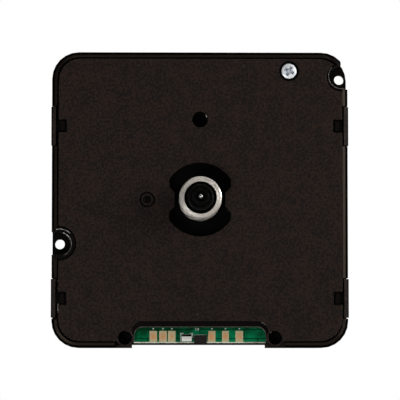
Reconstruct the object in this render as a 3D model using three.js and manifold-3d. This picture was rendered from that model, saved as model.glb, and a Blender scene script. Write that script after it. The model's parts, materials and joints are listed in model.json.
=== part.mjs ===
// A quartz clock movement: a square black case with a threaded bush for the dial, three coaxial
// hand shafts, a stepping motor, a wheel train, a printed board and an open bay for one AA cell.
// Millimetres, +Z up, the dial side faces -Y. The pieces are made round the hand shafts, with the
// dial seat at y = 0, and the last lines stand the whole movement on its lower edge.
import * as THREE from 'three'
import { mergeVertices } from 'three/addons/utils/BufferGeometryUtils.js'
import Module from 'manifold-3d'

const wasm = await Module()
wasm.setup()

// Case outline and walls
const CASE_HEIGHT = 56.2
const CASE_CORNER = 5.1
const CASE_WALL = 1.0
const REAR_WALL = 1.1
const REAR_EDGE = 0.5
const RIM_SETBACK = 0.1
const RIM_ROUND = 0.5
const REAR_BOSS_RADIUS = 1.5
const REAR_BOSS_RISE = 0.4

// Front plate
const PLATE_THICK = 1.2
const PLATE_GAP = 0.3
const POST_RADIUS = 1.5

// Snap arms of the case and the pockets that they hook into
const ARM_HIGH_INSET = 14.1
const ARM_LOW_INSET = 9.4
const ARM_HEIGHT = 7.3
const ARM_SLIT = 0.2
const ARM_LENGTH = 5.0
const ARM_THICK = 0.85
const ARM_BULGE = 0.12
const NOSE_REACH = 2.5
const NOSE_PAD = 0.9
const NOSE_HEIGHT = 1.8
const NOSE_FRONT = 0.25
const NOSE_STEP = 0.2
const NOSE_THICK = 0.5
const POCKET_GAP = 0.37

// Centre recess with its two lands, and the threaded bush
const RECESS_RADIUS = 7.0
const RECESS_DEPTH = 3.0
const RECESS_HALF_WIDTH = 5.85
const LAND_FACE_X = 4.8
const LAND_HALF_HEIGHT = 1.3
const WELL_WALL = 1.0
const BUSH_RADIUS = 4.0
const BUSH_LENGTH = 6.0
const BUSH_BORE_RADIUS = 2.65
const BUSH_MOUTH_RADIUS = 3.0
const BUSH_SPIGOT_RADIUS = 3.5
const BUSH_CHAMFER = 0.3

// Hand shafts: how far each stands out of the plate
const HOUR_PIPE_RADIUS = 2.5
const HOUR_PIPE_REACH = 7.6
const MINUTE_PIPE_RADIUS = 1.7
const MINUTE_PIPE_REACH = 9.4
const MINUTE_MOUTH_RADIUS = 0.95
const MINUTE_MOUTH_DEPTH = 4.0
const SECONDS_ARBOR_RADIUS = 0.42
const SECONDS_ARBOR_REACH = 10.8
const PIPE_CHAMFER = 0.3
const PIPE_PLAY = 0.15
const PIVOT_PLAY = 0.1

// Motion work: minute pinion, intermediate wheel and pinion, hour wheel
const MOTION_MODULE = 0.5
const MOTION_WHEEL_THICK = 0.8
const MINUTE_PINION_TEETH = 10
const INTERMEDIATE_TEETH = 30
const INTERMEDIATE_PINION_TEETH = 8
const HOUR_TEETH = 32

// Going train: minute wheel, third wheel, seconds wheel, rotor wheel and rotor pinion
const TRAIN_MODULE = 0.25
const TRAIN_WHEEL_THICK = 0.7
const MINUTE_TEETH = 64
const THIRD_TEETH = 60
const SECONDS_TEETH = 40
const ROTOR_WHEEL_TEETH = 36
const TRAIN_PINION_TEETH = 8
const ROTOR_PINION_TEETH = 6
const ROTOR_BEARING_ANGLE = THREE.MathUtils.degToRad(40.4)
const LAYER_GAP = 0.3
const ARBOR_RADIUS = 0.4
const HUB_RADIUS = 0.9
const ROTOR_POST_RADIUS = 0.75
const TRAIN_PLATE_THICK = 0.8
const PILLAR_RADIUS = 1.6

// Stepping motor
const MAGNET_RADIUS = 2.0
const MAGNET_LENGTH = 1.8
const MAGNET_END_ROOM = 0.9
const AIR_GAP = 0.5
const STATOR_THICK = 1.2
const STATOR_RING_WIDTH = 1.7
const STATOR_LIMB_WIDTH = 3.8
const COIL_INSET = 7.6
const COIL_END_GAP = 4.6
const COIL_HALF_HEIGHT = 3.2
const COIL_HALF_DEPTH = 2.4
const CORE_HALF_LENGTH = 14.4
const CORE_HEIGHT = 3.2
const BOBBIN_WALL = 0.5
const BOBBIN_FLANGE = 0.8
const CORE_END = 2.0
const FIXING_RADIUS = 1.6
const FIXING_PIN_RADIUS = 0.7

// Battery bay for one AA cell
const CELL_DIAMETER = 14.5
const CELL_LENGTH = 50.5
const CELL_ROOM = 0.2
const CELL_END_ROOM = 3.7
const BAY_WALL = 1.0
const BAY_CORNER = 2.2
const CONTACT_THICK = 0.3
const CONTACT_WIDTH = 8.0
const CONTACT_HEIGHT = 12.4
const CONTACT_FOOT_WIDTH = 3.0
const CONTACT_PLAY = 0.1
const FINGER_NOTCH_WIDTH = 9.0
const FINGER_NOTCH_SLOPE = 1.0
const FINGER_NOTCH_DEPTH = 2.2

// Printed board and the window in the lower edge of the plate
const BOARD_FRONT = 2.0
const BOARD_THICK = 0.8
const BOARD_EDGE_GAP = 0.2
const BOARD_ARM_WIDTH = 6.2
const BOARD_ARM_TOP = 12.0
const WINDOW_HEIGHT = 5.1
const WINDOW_HALF_WIDTH = 13.0
const WINDOW_CORNER = 2.2
const WINDOW_LEDGE = 1.1
const WINDOW_LEDGE_SIDE = 0.5
const WINDOW_LEDGE_DEPTH = 0.6
const EAR_HOLE_X = 14.2
const EAR_HOLE_RISE = 1.95
const EAR_HOLE_RADIUS = 1.33
const EAR_WALL = 0.29
const EAR_DEPTH = 2.6
const LOWER_INSET = 0.6

// Mounting lugs: pockets open to the side of the case, with a thin drilled floor
const LUG_LEFT_INSET = 1.4
const LUG_LEFT_Z = -8.3
const LUG_LEFT_MOUTH = 2.2
const LUG_LEFT_LIP = 0.6
const LUG_LEFT_GAP = 0.5
const LUG_RIGHT_INSET = 1.3
const LUG_RIGHT_DROP = 4.75
const LUG_RIGHT_MOUTH = 2.35
const LUG_RIGHT_LIP = 0.2
const LUG_RIGHT_GAP = 0.2
const LUG_RIGHT_OPEN_TOP = 1.2
const LUG_DRAFT = 0.3
const LUG_DEPTH = 5.0
const LUG_THICK = 2.0
const LUG_WALL = 0.8
const LUG_HOLE_RADIUS = 0.95
const LUG_LIP_SETBACK = 0.15

// Small features of the plate
const LOCATING_HOLE_Z = 15.2
const LOCATING_HOLE_RADIUS = 1.52
const LOCATING_HOLE_DEPTH = 3.2
const LOCATING_WALL = 0.8
const PIVOT_RING_RADIUS = 1.55
const PIVOT_BOSS_RADIUS = 1.1
const PIVOT_RING_DEPTH = 0.35
const PIVOT_RADIUS = 0.5
const SCREW_INSET_X = 11.15
const SCREW_INSET_Z = 3.6
const SCREW_HEAD_RADIUS = 1.55
const SCREW_HEAD_HEIGHT = 0.75
const SCREW_HEAD_SETBACK = 0.1
const SCREW_CROWN = 0.4
const SCREW_SLOT_WIDTH = 0.42
const SCREW_SLOT_LENGTH = 1.9
const SCREW_SLOT_DEPTH = 0.45
const SCREW_SHANK_RADIUS = 0.85
const SCREW_LENGTH = 7.0
const SCREW_POCKET_RADIUS = 1.95
const SCREW_BOSS_DEPTH = 2.4

// Setting knob
const KNOB_RADIUS = 6.2
const KNOB_FLUTES = 30
const KNOB_DOME = 0.5
const KNOB_DISH_RADIUS = 4.2
const KNOB_DISH_DEPTH = 0.6
const KNOB_GAP = 0.3
const KNOB_THICK = 2.8
const KNOB_SHAFT_RADIUS = 1.0

// Small electronic parts on the board
const CRYSTAL_RADIUS = 1.0
const CRYSTAL_LENGTH = 6.0
const CHIP_RADIUS = 2.6
const CHIP_HEIGHT = 1.2
const CAPACITOR_X = -2.5
const CAPACITOR_WIDTH = 1.9
const CAPACITOR_HEIGHT = 1.35
const CAPACITOR_THICK = 0.6
const CAPACITOR_RISE = 0.45
const DIODE_X = 0.1
const DIODE_WIDTH = 2.4
const DIODE_HEIGHT = 1.55
const DIODE_THICK = 0.7
const DIODE_RISE = 0.05

// Steps of the round forms, and the overrun of every cut
const FINE_SIDES = 36
const ROUND_SIDES = 24
const PIN_SIDES = 12
const CORNER_STEPS = 6
const OVERRUN = 1.0

// Places through the depth, from the dial seat at y = 0 to the back
const wellBack = RECESS_DEPTH + WELL_WALL
const hourFront = wellBack + LAYER_GAP
const hourBack = hourFront + MOTION_WHEEL_THICK
const intermediateFront = hourBack + LAYER_GAP
const intermediateBack = intermediateFront + MOTION_WHEEL_THICK
const trainPlateFront = intermediateBack + LAYER_GAP
const trainPlateBack = trainPlateFront + TRAIN_PLATE_THICK
const minuteFront = trainPlateBack + LAYER_GAP
const minuteBack = minuteFront + TRAIN_WHEEL_THICK
const thirdFront = minuteBack + LAYER_GAP
const thirdBack = thirdFront + TRAIN_WHEEL_THICK
const secondsFront = thirdBack + LAYER_GAP
const secondsBack = secondsFront + TRAIN_WHEEL_THICK
const rotorWheelFront = secondsBack + LAYER_GAP
const rotorWheelBack = rotorWheelFront + TRAIN_WHEEL_THICK
const magnetFront = rotorWheelBack + LAYER_GAP
const magnetBack = magnetFront + MAGNET_LENGTH
const statorFront = magnetFront + (MAGNET_LENGTH - STATOR_THICK) / 2
const statorBack = statorFront + STATOR_THICK
const coreFront = statorFront - STATOR_THICK
const wallFront = magnetBack + MAGNET_END_ROOM
const caseBack = wallFront + REAR_WALL
const bearingEnd = wallFront + REAR_WALL / 2
const boardBack = BOARD_FRONT + BOARD_THICK
const bayFloor = boardBack + BAY_WALL
const bayBack = bayFloor + CELL_DIAMETER + CELL_ROOM
const knobBack = caseBack + KNOB_GAP + KNOB_THICK

// Places across the face: the cell's length sets the width of the case
const halfWidth = (CELL_LENGTH + CELL_END_ROOM) / 2 + CASE_WALL
const halfHeight = CASE_HEIGHT / 2
const innerHalfWidth = halfWidth - CASE_WALL
const innerHalfHeight = halfHeight - CASE_WALL
const plateHalfWidth = innerHalfWidth - PLATE_GAP
const plateHalfHeight = innerHalfHeight - PLATE_GAP
const bayBottom = -innerHalfHeight
const bayTop = bayBottom + CELL_DIAMETER + 2 * CELL_ROOM
const blockTop = bayTop + BAY_WALL
const cellZ = (bayBottom + bayTop) / 2
const boardBottom = -halfHeight + LOWER_INSET + BOARD_EDGE_GAP
const boardTop = LUG_LEFT_Z - LUG_LEFT_MOUTH - LUG_WALL - BOARD_EDGE_GAP
const earHoleZ = -halfHeight + EAR_HOLE_RISE
const earRadius = EAR_HOLE_RADIUS + EAR_WALL
const boardArmRight = innerHalfWidth - PLATE_GAP
const boardArmX = boardArmRight - BOARD_ARM_WIDTH / 2
const windowTop = -halfHeight + WINDOW_HEIGHT
const coilZ = halfHeight - COIL_INSET
const fixingX = CORE_HALF_LENGTH - CORE_END
const coilHalfLength = CORE_HALF_LENGTH - COIL_END_GAP
const screwAt = { x: halfWidth - SCREW_INSET_X, z: halfHeight - SCREW_INSET_Z }

// Centres of the arbors
const motionDistance = MOTION_MODULE * (MINUTE_PINION_TEETH + INTERMEDIATE_TEETH) / 2
const thirdDistance = TRAIN_MODULE * (MINUTE_TEETH + TRAIN_PINION_TEETH) / 2
const thirdModule = 2 * thirdDistance / (THIRD_TEETH + TRAIN_PINION_TEETH)
const rotorWheelDistance = TRAIN_MODULE * (SECONDS_TEETH + TRAIN_PINION_TEETH) / 2
const rotorDistance = TRAIN_MODULE * (ROTOR_WHEEL_TEETH + ROTOR_PINION_TEETH) / 2
const intermediateAt = { x: -motionDistance, z: 0 }
const centre = { x: 0, z: 0 }
const thirdAt = { x: thirdDistance, z: 0 }
const rotorWheelAt = { x: 0, z: rotorWheelDistance }
const rotorAt = {
  x: rotorDistance * Math.cos(ROTOR_BEARING_ANGLE),
  z: rotorWheelDistance + rotorDistance * Math.sin(ROTOR_BEARING_ANGLE),
}

// Posts that hold the train plate, outside the tips of the largest wheels
const wheelReach = motionDistance + MOTION_MODULE * INTERMEDIATE_TEETH / 2
const pillarLowZ = blockTop + PILLAR_RADIUS + CELL_ROOM + LAYER_GAP
const pillars = [
  { x: -wheelReach + PILLAR_RADIUS / 2, z: motionDistance },
  { x: -wheelReach + PILLAR_RADIUS, z: pillarLowZ },
  { x: thirdDistance + MOTION_MODULE * HOUR_TEETH / 2, z: motionDistance },
  { x: thirdDistance + MOTION_MODULE * HOUR_TEETH / 2, z: pillarLowZ },
]
const fixings = [{ x: -fixingX, z: coilZ }, { x: fixingX, z: coilZ }]

// Outlines of the teeth: distance from the pitch circle in modules, and half width as a share of
// the pitch. Wheels have sloping flanks, pinions have slim leaves with straight roots, and the
// knob's flutes are shallow.
const wheelToothShares = [[-1.35, 0.3], [0.8, 0.1]]
const pinionToothShares = [[-1.35, 0.17], [0, 0.19], [0.7, 0.09]]
const fluteShares = [[-1.1, 0.28], [0, 0.16]]

const finishes = {
  blackPlastic: { color: 0x211a17, roughness: 0.62, metalness: 0 },
  pipePlastic: { color: 0x161413, roughness: 0.45, metalness: 0 },
  whitePlastic: { color: 0xe6e4dc, roughness: 0.5, metalness: 0 },
  nickel: { color: 0xcfc9bf, roughness: 0.28, metalness: 1 },
  zinc: { color: 0x8c9399, roughness: 0.4, metalness: 1 },
  steel: { color: 0x9a9c9e, roughness: 0.35, metalness: 1 },
  magnet: { color: 0x4c4a48, roughness: 0.5, metalness: 0.6 },
  copper: { color: 0xa8582c, roughness: 0.4, metalness: 0.8 },
  board: { color: 0x07462b, roughness: 0.45, metalness: 0 },
  epoxy: { color: 0x17110e, roughness: 0.5, metalness: 0 },
}

// A closed solid from a geometry: seams are merged and faces with no area dropped.
function solidOf(geometry) {
  geometry.deleteAttribute('normal')
  geometry.deleteAttribute('uv')
  const merged = mergeVertices(geometry)
  const index = merged.index.array
  const kept = []
  for (let i = 0; i < index.length; i += 3) {
    const [a, b, c] = index.subarray(i, i + 3)
    if (a !== b && b !== c && c !== a) kept.push(a, b, c)
  }
  return new wasm.Manifold(new wasm.Mesh({
    numProp: 3,
    vertProperties: merged.attributes.position.array,
    triVerts: Uint32Array.from(kept),
  }))
}

function joined(...solids) {
  return solids.reduce((whole, solid) => whole.add(solid))
}

function cut(body, ...tools) {
  return tools.reduce((rest, tool) => rest.subtract(tool), body)
}

// A round bar along Y, or a cone when the radius at the back differs.
function bar(at, radius, front, back, sides = ROUND_SIDES, backRadius = radius) {
  const geometry = new THREE.CylinderGeometry(backRadius, radius, back - front, sides)
  return solidOf(geometry.translate(at.x, (front + back) / 2, at.z))
}

// An outline in X and Z, carried along Y from front to back.
function prism(outline, front, back) {
  const geometry = new THREE.ExtrudeGeometry(outline, {
    depth: back - front, bevelEnabled: false, curveSegments: CORNER_STEPS,
  })
  return solidOf(geometry.rotateX(Math.PI / 2).translate(0, back, 0))
}

// An outline in X and Y, carried along Z from bottom to top.
function upright(outline, bottom, top) {
  const geometry = new THREE.ExtrudeGeometry(outline, {
    depth: top - bottom, bevelEnabled: false, curveSegments: CORNER_STEPS,
  })
  return solidOf(geometry.translate(0, 0, bottom))
}

function block(left, right, front, back, bottom, top) {
  const geometry = new THREE.BoxGeometry(right - left, back - front, top - bottom)
  return solidOf(geometry.translate((left + right) / 2, (front + back) / 2, (bottom + top) / 2))
}

// A turned solid round the Y line through a place, from its profile of radius and y.
function turned(at, profile, sides = ROUND_SIDES) {
  const points = profile.map(([radius, y]) => new THREE.Vector2(radius, y))
  return solidOf(new THREE.LatheGeometry(points, sides).translate(at.x, 0, at.z))
}

function polygon(points) {
  return new THREE.Shape(points.map(([x, y]) => new THREE.Vector2(x, y)))
}

// A ring of points round a rectangle with round corners, drawn in from the full outline.
function cornerRing({ left, right, bottom, top, lowCorner, highCorner }, inset, y) {
  const low = Math.max(lowCorner - inset, 0)
  const high = Math.max(highCorner - inset, 0)
  const corners = [
    [right - inset - high, top - inset - high, high],
    [left + inset + high, top - inset - high, high],
    [left + inset + low, bottom + inset + low, low],
    [right - inset - low, bottom + inset + low, low],
  ]
  const ring = []
  corners.forEach(([x, z, radius], quarter) => {
    for (let step = 0; step <= CORNER_STEPS; step++) {
      const angle = (quarter + step / CORNER_STEPS) * Math.PI / 2
      ring.push(new THREE.Vector3(x + radius * Math.cos(angle), y, z + radius * Math.sin(angle)))
    }
  })
  return ring
}

// A solid through rings of equal counts, front to back, with flat ends.
function loft(rings) {
  const count = rings[0].length
  const faces = []
  for (let k = 0; k + 1 < rings.length; k++) {
    for (let i = 0; i < count; i++) {
      const [a, b] = [k * count + i, k * count + (i + 1) % count]
      faces.push(a, a + count, b, b, a + count, b + count)
    }
  }
  const last = (rings.length - 1) * count
  for (let i = 1; i + 1 < count; i++) {
    faces.push(0, i, i + 1, last, last + i + 1, last + i)
  }
  const geometry = new THREE.BufferGeometry().setFromPoints(rings.flat())
  return solidOf(geometry.setIndex(faces))
}

function roundedBox(sides, levels) {
  return loft(levels.map(([y, inset]) => cornerRing(sides, inset, y)))
}

// The outline of a gear about a place, as points: each tooth mirrors its list of shares.
function toothOutline(at, teeth, module, phase, shares) {
  const pitch = 2 * Math.PI / teeth
  const points = []
  for (let tooth = 0; tooth < teeth; tooth++) {
    const sides = [
      ...shares.map(([out, half]) => [out, -half]),
      ...shares.toReversed().map(([out, half]) => [out, half]),
    ]
    for (const [out, turn] of sides) {
      const radius = module * (teeth / 2 + out)
      const angle = phase + (tooth + turn) * pitch
      points.push([at.x + radius * Math.cos(angle), at.z + radius * Math.sin(angle)])
    }
  }
  return points
}

function gear(at, teeth, module, phase, shares, front, back) {
  return prism(polygon(toothOutline(at, teeth, module, phase, shares)), front, back)
}

// The phase that puts a gap of the second gear on a tooth of the first, along the line between.
function meshedPhase(firstPhase, firstTeeth, secondTeeth, direction) {
  const offset = (direction - firstPhase) * firstTeeth / (2 * Math.PI)
  return direction + Math.PI - (0.5 - offset) * 2 * Math.PI / secondTeeth
}

function bothSides(make) {
  return [-1, 1].map(make)
}

function piece(name, solid, finish) {
  const mesh = solid.getMesh()
  const geometry = new THREE.BufferGeometry()
  geometry.setAttribute('position', new THREE.BufferAttribute(mesh.vertProperties, 3))
  geometry.setIndex(new THREE.BufferAttribute(mesh.triVerts, 1))
  geometry.computeVertexNormals()
  const node = new THREE.Mesh(geometry, new THREE.MeshStandardMaterial(finishes[finish]))
  node.name = name
  return node
}

// Snap arms stand at four places: side is -1 or 1, z the height.
const armHeights = [halfHeight - ARM_HIGH_INSET, -halfHeight + ARM_LOW_INSET]
const armPlaces = armHeights.flatMap((z) => bothSides((side) => ({ side, z })))
const armInner = halfWidth + ARM_BULGE - ARM_THICK
const noseTip = halfWidth - NOSE_REACH
const noseBack = NOSE_FRONT + NOSE_THICK

const lugs = [
  {
    x: -halfWidth + LUG_LEFT_INSET, z: LUG_LEFT_Z, side: -1,
    mouth: LUG_LEFT_MOUTH, lip: LUG_LEFT_LIP, gap: LUG_LEFT_GAP, openTop: 0,
  },
  {
    x: halfWidth - LUG_RIGHT_INSET, z: halfHeight - LUG_RIGHT_DROP, side: 1,
    mouth: LUG_RIGHT_MOUTH, lip: LUG_RIGHT_LIP, gap: LUG_RIGHT_GAP, openTop: LUG_RIGHT_OPEN_TOP,
  },
]

// One snap arm: a tongue that bulges a little past the wall, with a hook whose tip is raised.
function snapArm({ side, z }) {
  const outer = halfWidth + ARM_BULGE
  const root = ARM_LENGTH + CASE_WALL / 2
  const middle = armInner + ARM_THICK / 2
  const tongue = polygon([
    [side * armInner, RIM_SETBACK], [side * (outer - RIM_ROUND / 2), RIM_SETBACK],
    [side * outer, RIM_ROUND], [side * outer, ARM_LENGTH / 2], [side * halfWidth, ARM_LENGTH],
    [side * halfWidth, root], [side * armInner, root],
  ])
  const hook = polygon([
    [side * middle, NOSE_FRONT + NOSE_STEP], [side * (noseTip + NOSE_PAD), NOSE_FRONT + NOSE_STEP],
    [side * (noseTip + NOSE_PAD), NOSE_FRONT], [side * (noseTip + NOSE_STEP / 2), NOSE_FRONT],
    [side * noseTip, NOSE_FRONT + NOSE_STEP / 2], [side * noseTip, noseBack], [side * middle, noseBack],
  ])
  return joined(
    upright(tongue, z - ARM_HEIGHT / 2, z + ARM_HEIGHT / 2),
    upright(hook, z - NOSE_HEIGHT / 2, z + NOSE_HEIGHT / 2),
  )
}

// What a lug leaves open on each side of its floor: a cone that widens away from the floor, and the
// way out through the side of the case, which at a corner goes on up past the cone.
function lugOpenings({ x, z, mouth, side, openTop }) {
  const floorRadius = mouth - LUG_DRAFT
  const floorBack = LUG_DEPTH + LUG_THICK
  const way = side * (halfWidth + OVERRUN)
  const [left, right] = [Math.min(x, way), Math.max(x, way)]
  return [
    bar({ x, z }, mouth, -OVERRUN, LUG_DEPTH, ROUND_SIDES, floorRadius),
    bar({ x, z }, floorRadius, floorBack, bayBack + OVERRUN, ROUND_SIDES, mouth),
    block(left, right, -OVERRUN, LUG_DEPTH, z - mouth, z + mouth + openTop),
    block(left, right, floorBack, bayBack + OVERRUN, z - mouth, z + mouth + openTop),
    bar({ x, z }, LUG_HOLE_RADIUS, 0, caseBack),
  ]
}

// The wall round a lug: a thin lip where it passes the plate, and a thicker wall behind it.
function lugWalls({ x, z, mouth, lip }) {
  return joined(
    bar({ x, z }, mouth + lip, LUG_LIP_SETBACK, caseBack - REAR_EDGE),
    bar({ x, z }, mouth + LUG_WALL, PLATE_THICK + LAYER_GAP, caseBack - REAR_EDGE),
  )
}

// A quarter round from a flat front to a side, as levels of y and inset.
function roundedLevels(front, radius) {
  return [0, 1, 2, 3].map((step) => {
    const angle = step * Math.PI / 6
    return [front + radius * (1 - Math.cos(angle)), radius * (1 - Math.sin(angle))]
  })
}

function rearCase() {
  const outline = {
    left: -halfWidth, right: halfWidth, bottom: -halfHeight, top: halfHeight,
    lowCorner: CASE_CORNER, highCorner: CASE_CORNER,
  }
  const inside = {
    left: -innerHalfWidth, right: innerHalfWidth, bottom: -innerHalfHeight, top: innerHalfHeight,
    lowCorner: CASE_CORNER - CASE_WALL, highCorner: CASE_CORNER - CASE_WALL,
  }
  const shell = roundedBox(outline, [
    ...roundedLevels(RIM_SETBACK, RIM_ROUND), [caseBack - REAR_EDGE, 0], [caseBack, REAR_EDGE],
  ])
  const bayBlock = roundedBox({ ...outline, top: blockTop, highCorner: BAY_WALL }, [
    [bayFloor, 0], [bayBack - REAR_EDGE, 0], [bayBack, REAR_EDGE],
  ])
  const front = roundedBox(inside, [[-OVERRUN, 0], [boardBack, 0]])
  const upper = roundedBox({ ...inside, bottom: blockTop, lowCorner: BAY_WALL }, [
    [boardBack - OVERRUN, 0], [wallFront, 0],
  ])
  const bay = roundedBox({
    left: -innerHalfWidth, right: innerHalfWidth, bottom: bayBottom, top: bayTop,
    lowCorner: BAY_CORNER, highCorner: BAY_CORNER,
  }, [[bayFloor, 0], [bayBack + OVERRUN, 0]])

  const supports = [
    ...pillars.map((at) => bar(at, PILLAR_RADIUS, trainPlateBack, bearingEnd, PIN_SIDES)),
    ...fixings.map((at) => bar(at, FIXING_RADIUS, statorBack, bearingEnd, PIN_SIDES)),
    ...fixings.map((at) => bar(at, FIXING_PIN_RADIUS, coreFront, wallFront, PIN_SIDES)),
    bar(screwAt, SCREW_POCKET_RADIUS, SCREW_BOSS_DEPTH, bearingEnd, PIN_SIDES),
    bar(centre, HUB_RADIUS, secondsBack + 2 * LAYER_GAP, bearingEnd, PIN_SIDES),
    bar(thirdAt, HUB_RADIUS, thirdBack + 2 * LAYER_GAP, bearingEnd, PIN_SIDES),
    bar(rotorAt, HUB_RADIUS, magnetBack + LAYER_GAP, bearingEnd, PIN_SIDES),
    bar(rotorWheelAt, ROTOR_POST_RADIUS, statorBack, bearingEnd, PIN_SIDES),
    bar(rotorWheelAt, ARBOR_RADIUS, secondsFront, wallFront, PIN_SIDES),
    bar(intermediateAt, 2 * KNOB_SHAFT_RADIUS, thirdFront, bearingEnd, PIN_SIDES),
    ...lugs.map((lug) => lugWalls(lug).intersect(roundedBox(outline, [[0, 0], [caseBack, 0]]))),
    ...[centre, thirdAt, rotorAt].map((at) => bar(
      at, REAR_BOSS_RADIUS, bearingEnd, caseBack + REAR_BOSS_RISE, ROUND_SIDES,
      REAR_BOSS_RADIUS - REAR_BOSS_RISE / 2,
    )),
  ]
  const bearings = [
    bar(centre, SECONDS_ARBOR_RADIUS + PIVOT_PLAY, secondsBack, bearingEnd, PIN_SIDES),
    bar(thirdAt, ARBOR_RADIUS + PIVOT_PLAY, thirdBack, bearingEnd, PIN_SIDES),
    bar(rotorAt, ARBOR_RADIUS + PIVOT_PLAY, magnetBack, bearingEnd, PIN_SIDES),
    bar(intermediateAt, KNOB_SHAFT_RADIUS + PIVOT_PLAY, trainPlateBack, caseBack + OVERRUN),
    bar(screwAt, SCREW_SHANK_RADIUS + PIVOT_PLAY / 2, -OVERRUN, SCREW_LENGTH + SCREW_BOSS_DEPTH,
      PIN_SIDES),
  ]
  const notches = armPlaces.map(({ side, z }) => {
    const [left, right] = side < 0
      ? [-halfWidth - OVERRUN, -innerHalfWidth + PLATE_GAP / 2]
      : [innerHalfWidth - PLATE_GAP / 2, halfWidth + OVERRUN]
    const half = ARM_HEIGHT / 2 + ARM_SLIT
    return block(left, right, -OVERRUN, ARM_LENGTH, z - half, z + half)
  })
  const lowerCuts = [
    block(-EAR_HOLE_X - earRadius - PLATE_GAP, EAR_HOLE_X + earRadius + PLATE_GAP, -OVERRUN,
      boardBack, -halfHeight - OVERRUN, -innerHalfHeight + PLATE_GAP),
    block(-WINDOW_HALF_WIDTH, WINDOW_HALF_WIDTH, -OVERRUN, bayBack + OVERRUN,
      -halfHeight - OVERRUN, -halfHeight + LOWER_INSET),
  ]
  const fingerHalf = FINGER_NOTCH_WIDTH / 2
  const fingerNotch = upright(polygon([
    [-fingerHalf, bayBack + OVERRUN], [-fingerHalf, bayBack],
    [-fingerHalf + FINGER_NOTCH_SLOPE, bayBack - FINGER_NOTCH_DEPTH],
    [fingerHalf - FINGER_NOTCH_SLOPE, bayBack - FINGER_NOTCH_DEPTH],
    [fingerHalf, bayBack], [fingerHalf, bayBack + OVERRUN],
  ]), bayTop - BAY_CORNER, blockTop + OVERRUN)
  const footHalf = CONTACT_FOOT_WIDTH / 2 + CELL_ROOM
  const footSlots = bothSides((side) => {
    const outer = side * (innerHalfWidth + CONTACT_PLAY)
    const inner = side * (innerHalfWidth - 2 * CONTACT_THICK)
    return block(Math.min(outer, inner), Math.max(outer, inner), boardBack - OVERRUN,
      bayFloor + OVERRUN, cellZ - footHalf, cellZ + footHalf)
  })
  const hollow = joined(cut(joined(shell, bayBlock), front, upper), ...supports)
  const cuts = [
    bay, fingerNotch, ...bearings, ...notches, ...lugs.flatMap(lugOpenings), ...lowerCuts, ...footSlots,
  ]
  return joined(cut(hollow, ...cuts), ...armPlaces.map(snapArm))
}

// The recess round the bush: a circle with flat sides, less a land with sloped ends on each side.
function recessOutline() {
  const flank = RECESS_HALF_WIDTH - LAND_FACE_X
  const half = (side) => {
    const start = Math.asin(RECESS_HALF_WIDTH / RECESS_RADIUS)
    const points = [
      [side * LAND_FACE_X, -side * LAND_HALF_HEIGHT], [side * LAND_FACE_X, side * LAND_HALF_HEIGHT],
      [side * RECESS_HALF_WIDTH, side * (LAND_HALF_HEIGHT + flank)],
    ]
    for (let step = 0; step < ROUND_SIDES; step++) {
      const angle = start * (1 - 2 * step / (ROUND_SIDES - 1))
      points.push([side * RECESS_RADIUS * Math.sin(angle), side * RECESS_RADIUS * Math.cos(angle)])
    }
    points.push([-side * RECESS_HALF_WIDTH, side * (LAND_HALF_HEIGHT + flank)])
    return points
  }
  return polygon([...half(1), ...half(-1)])
}

function windowOutline(shrink, drop) {
  const side = WINDOW_HALF_WIDTH - shrink
  const top = windowTop - drop
  const bottom = -halfHeight - OVERRUN
  const corner = WINDOW_CORNER - shrink
  const outline = new THREE.Shape()
  outline.moveTo(-side, bottom)
  outline.lineTo(side, bottom)
  outline.lineTo(side, top - corner)
  outline.absarc(side - corner, top - corner, corner, 0, Math.PI / 2, false)
  outline.absarc(-side + corner, top - corner, corner, Math.PI / 2, Math.PI, false)
  outline.closePath()
  return outline
}

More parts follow.
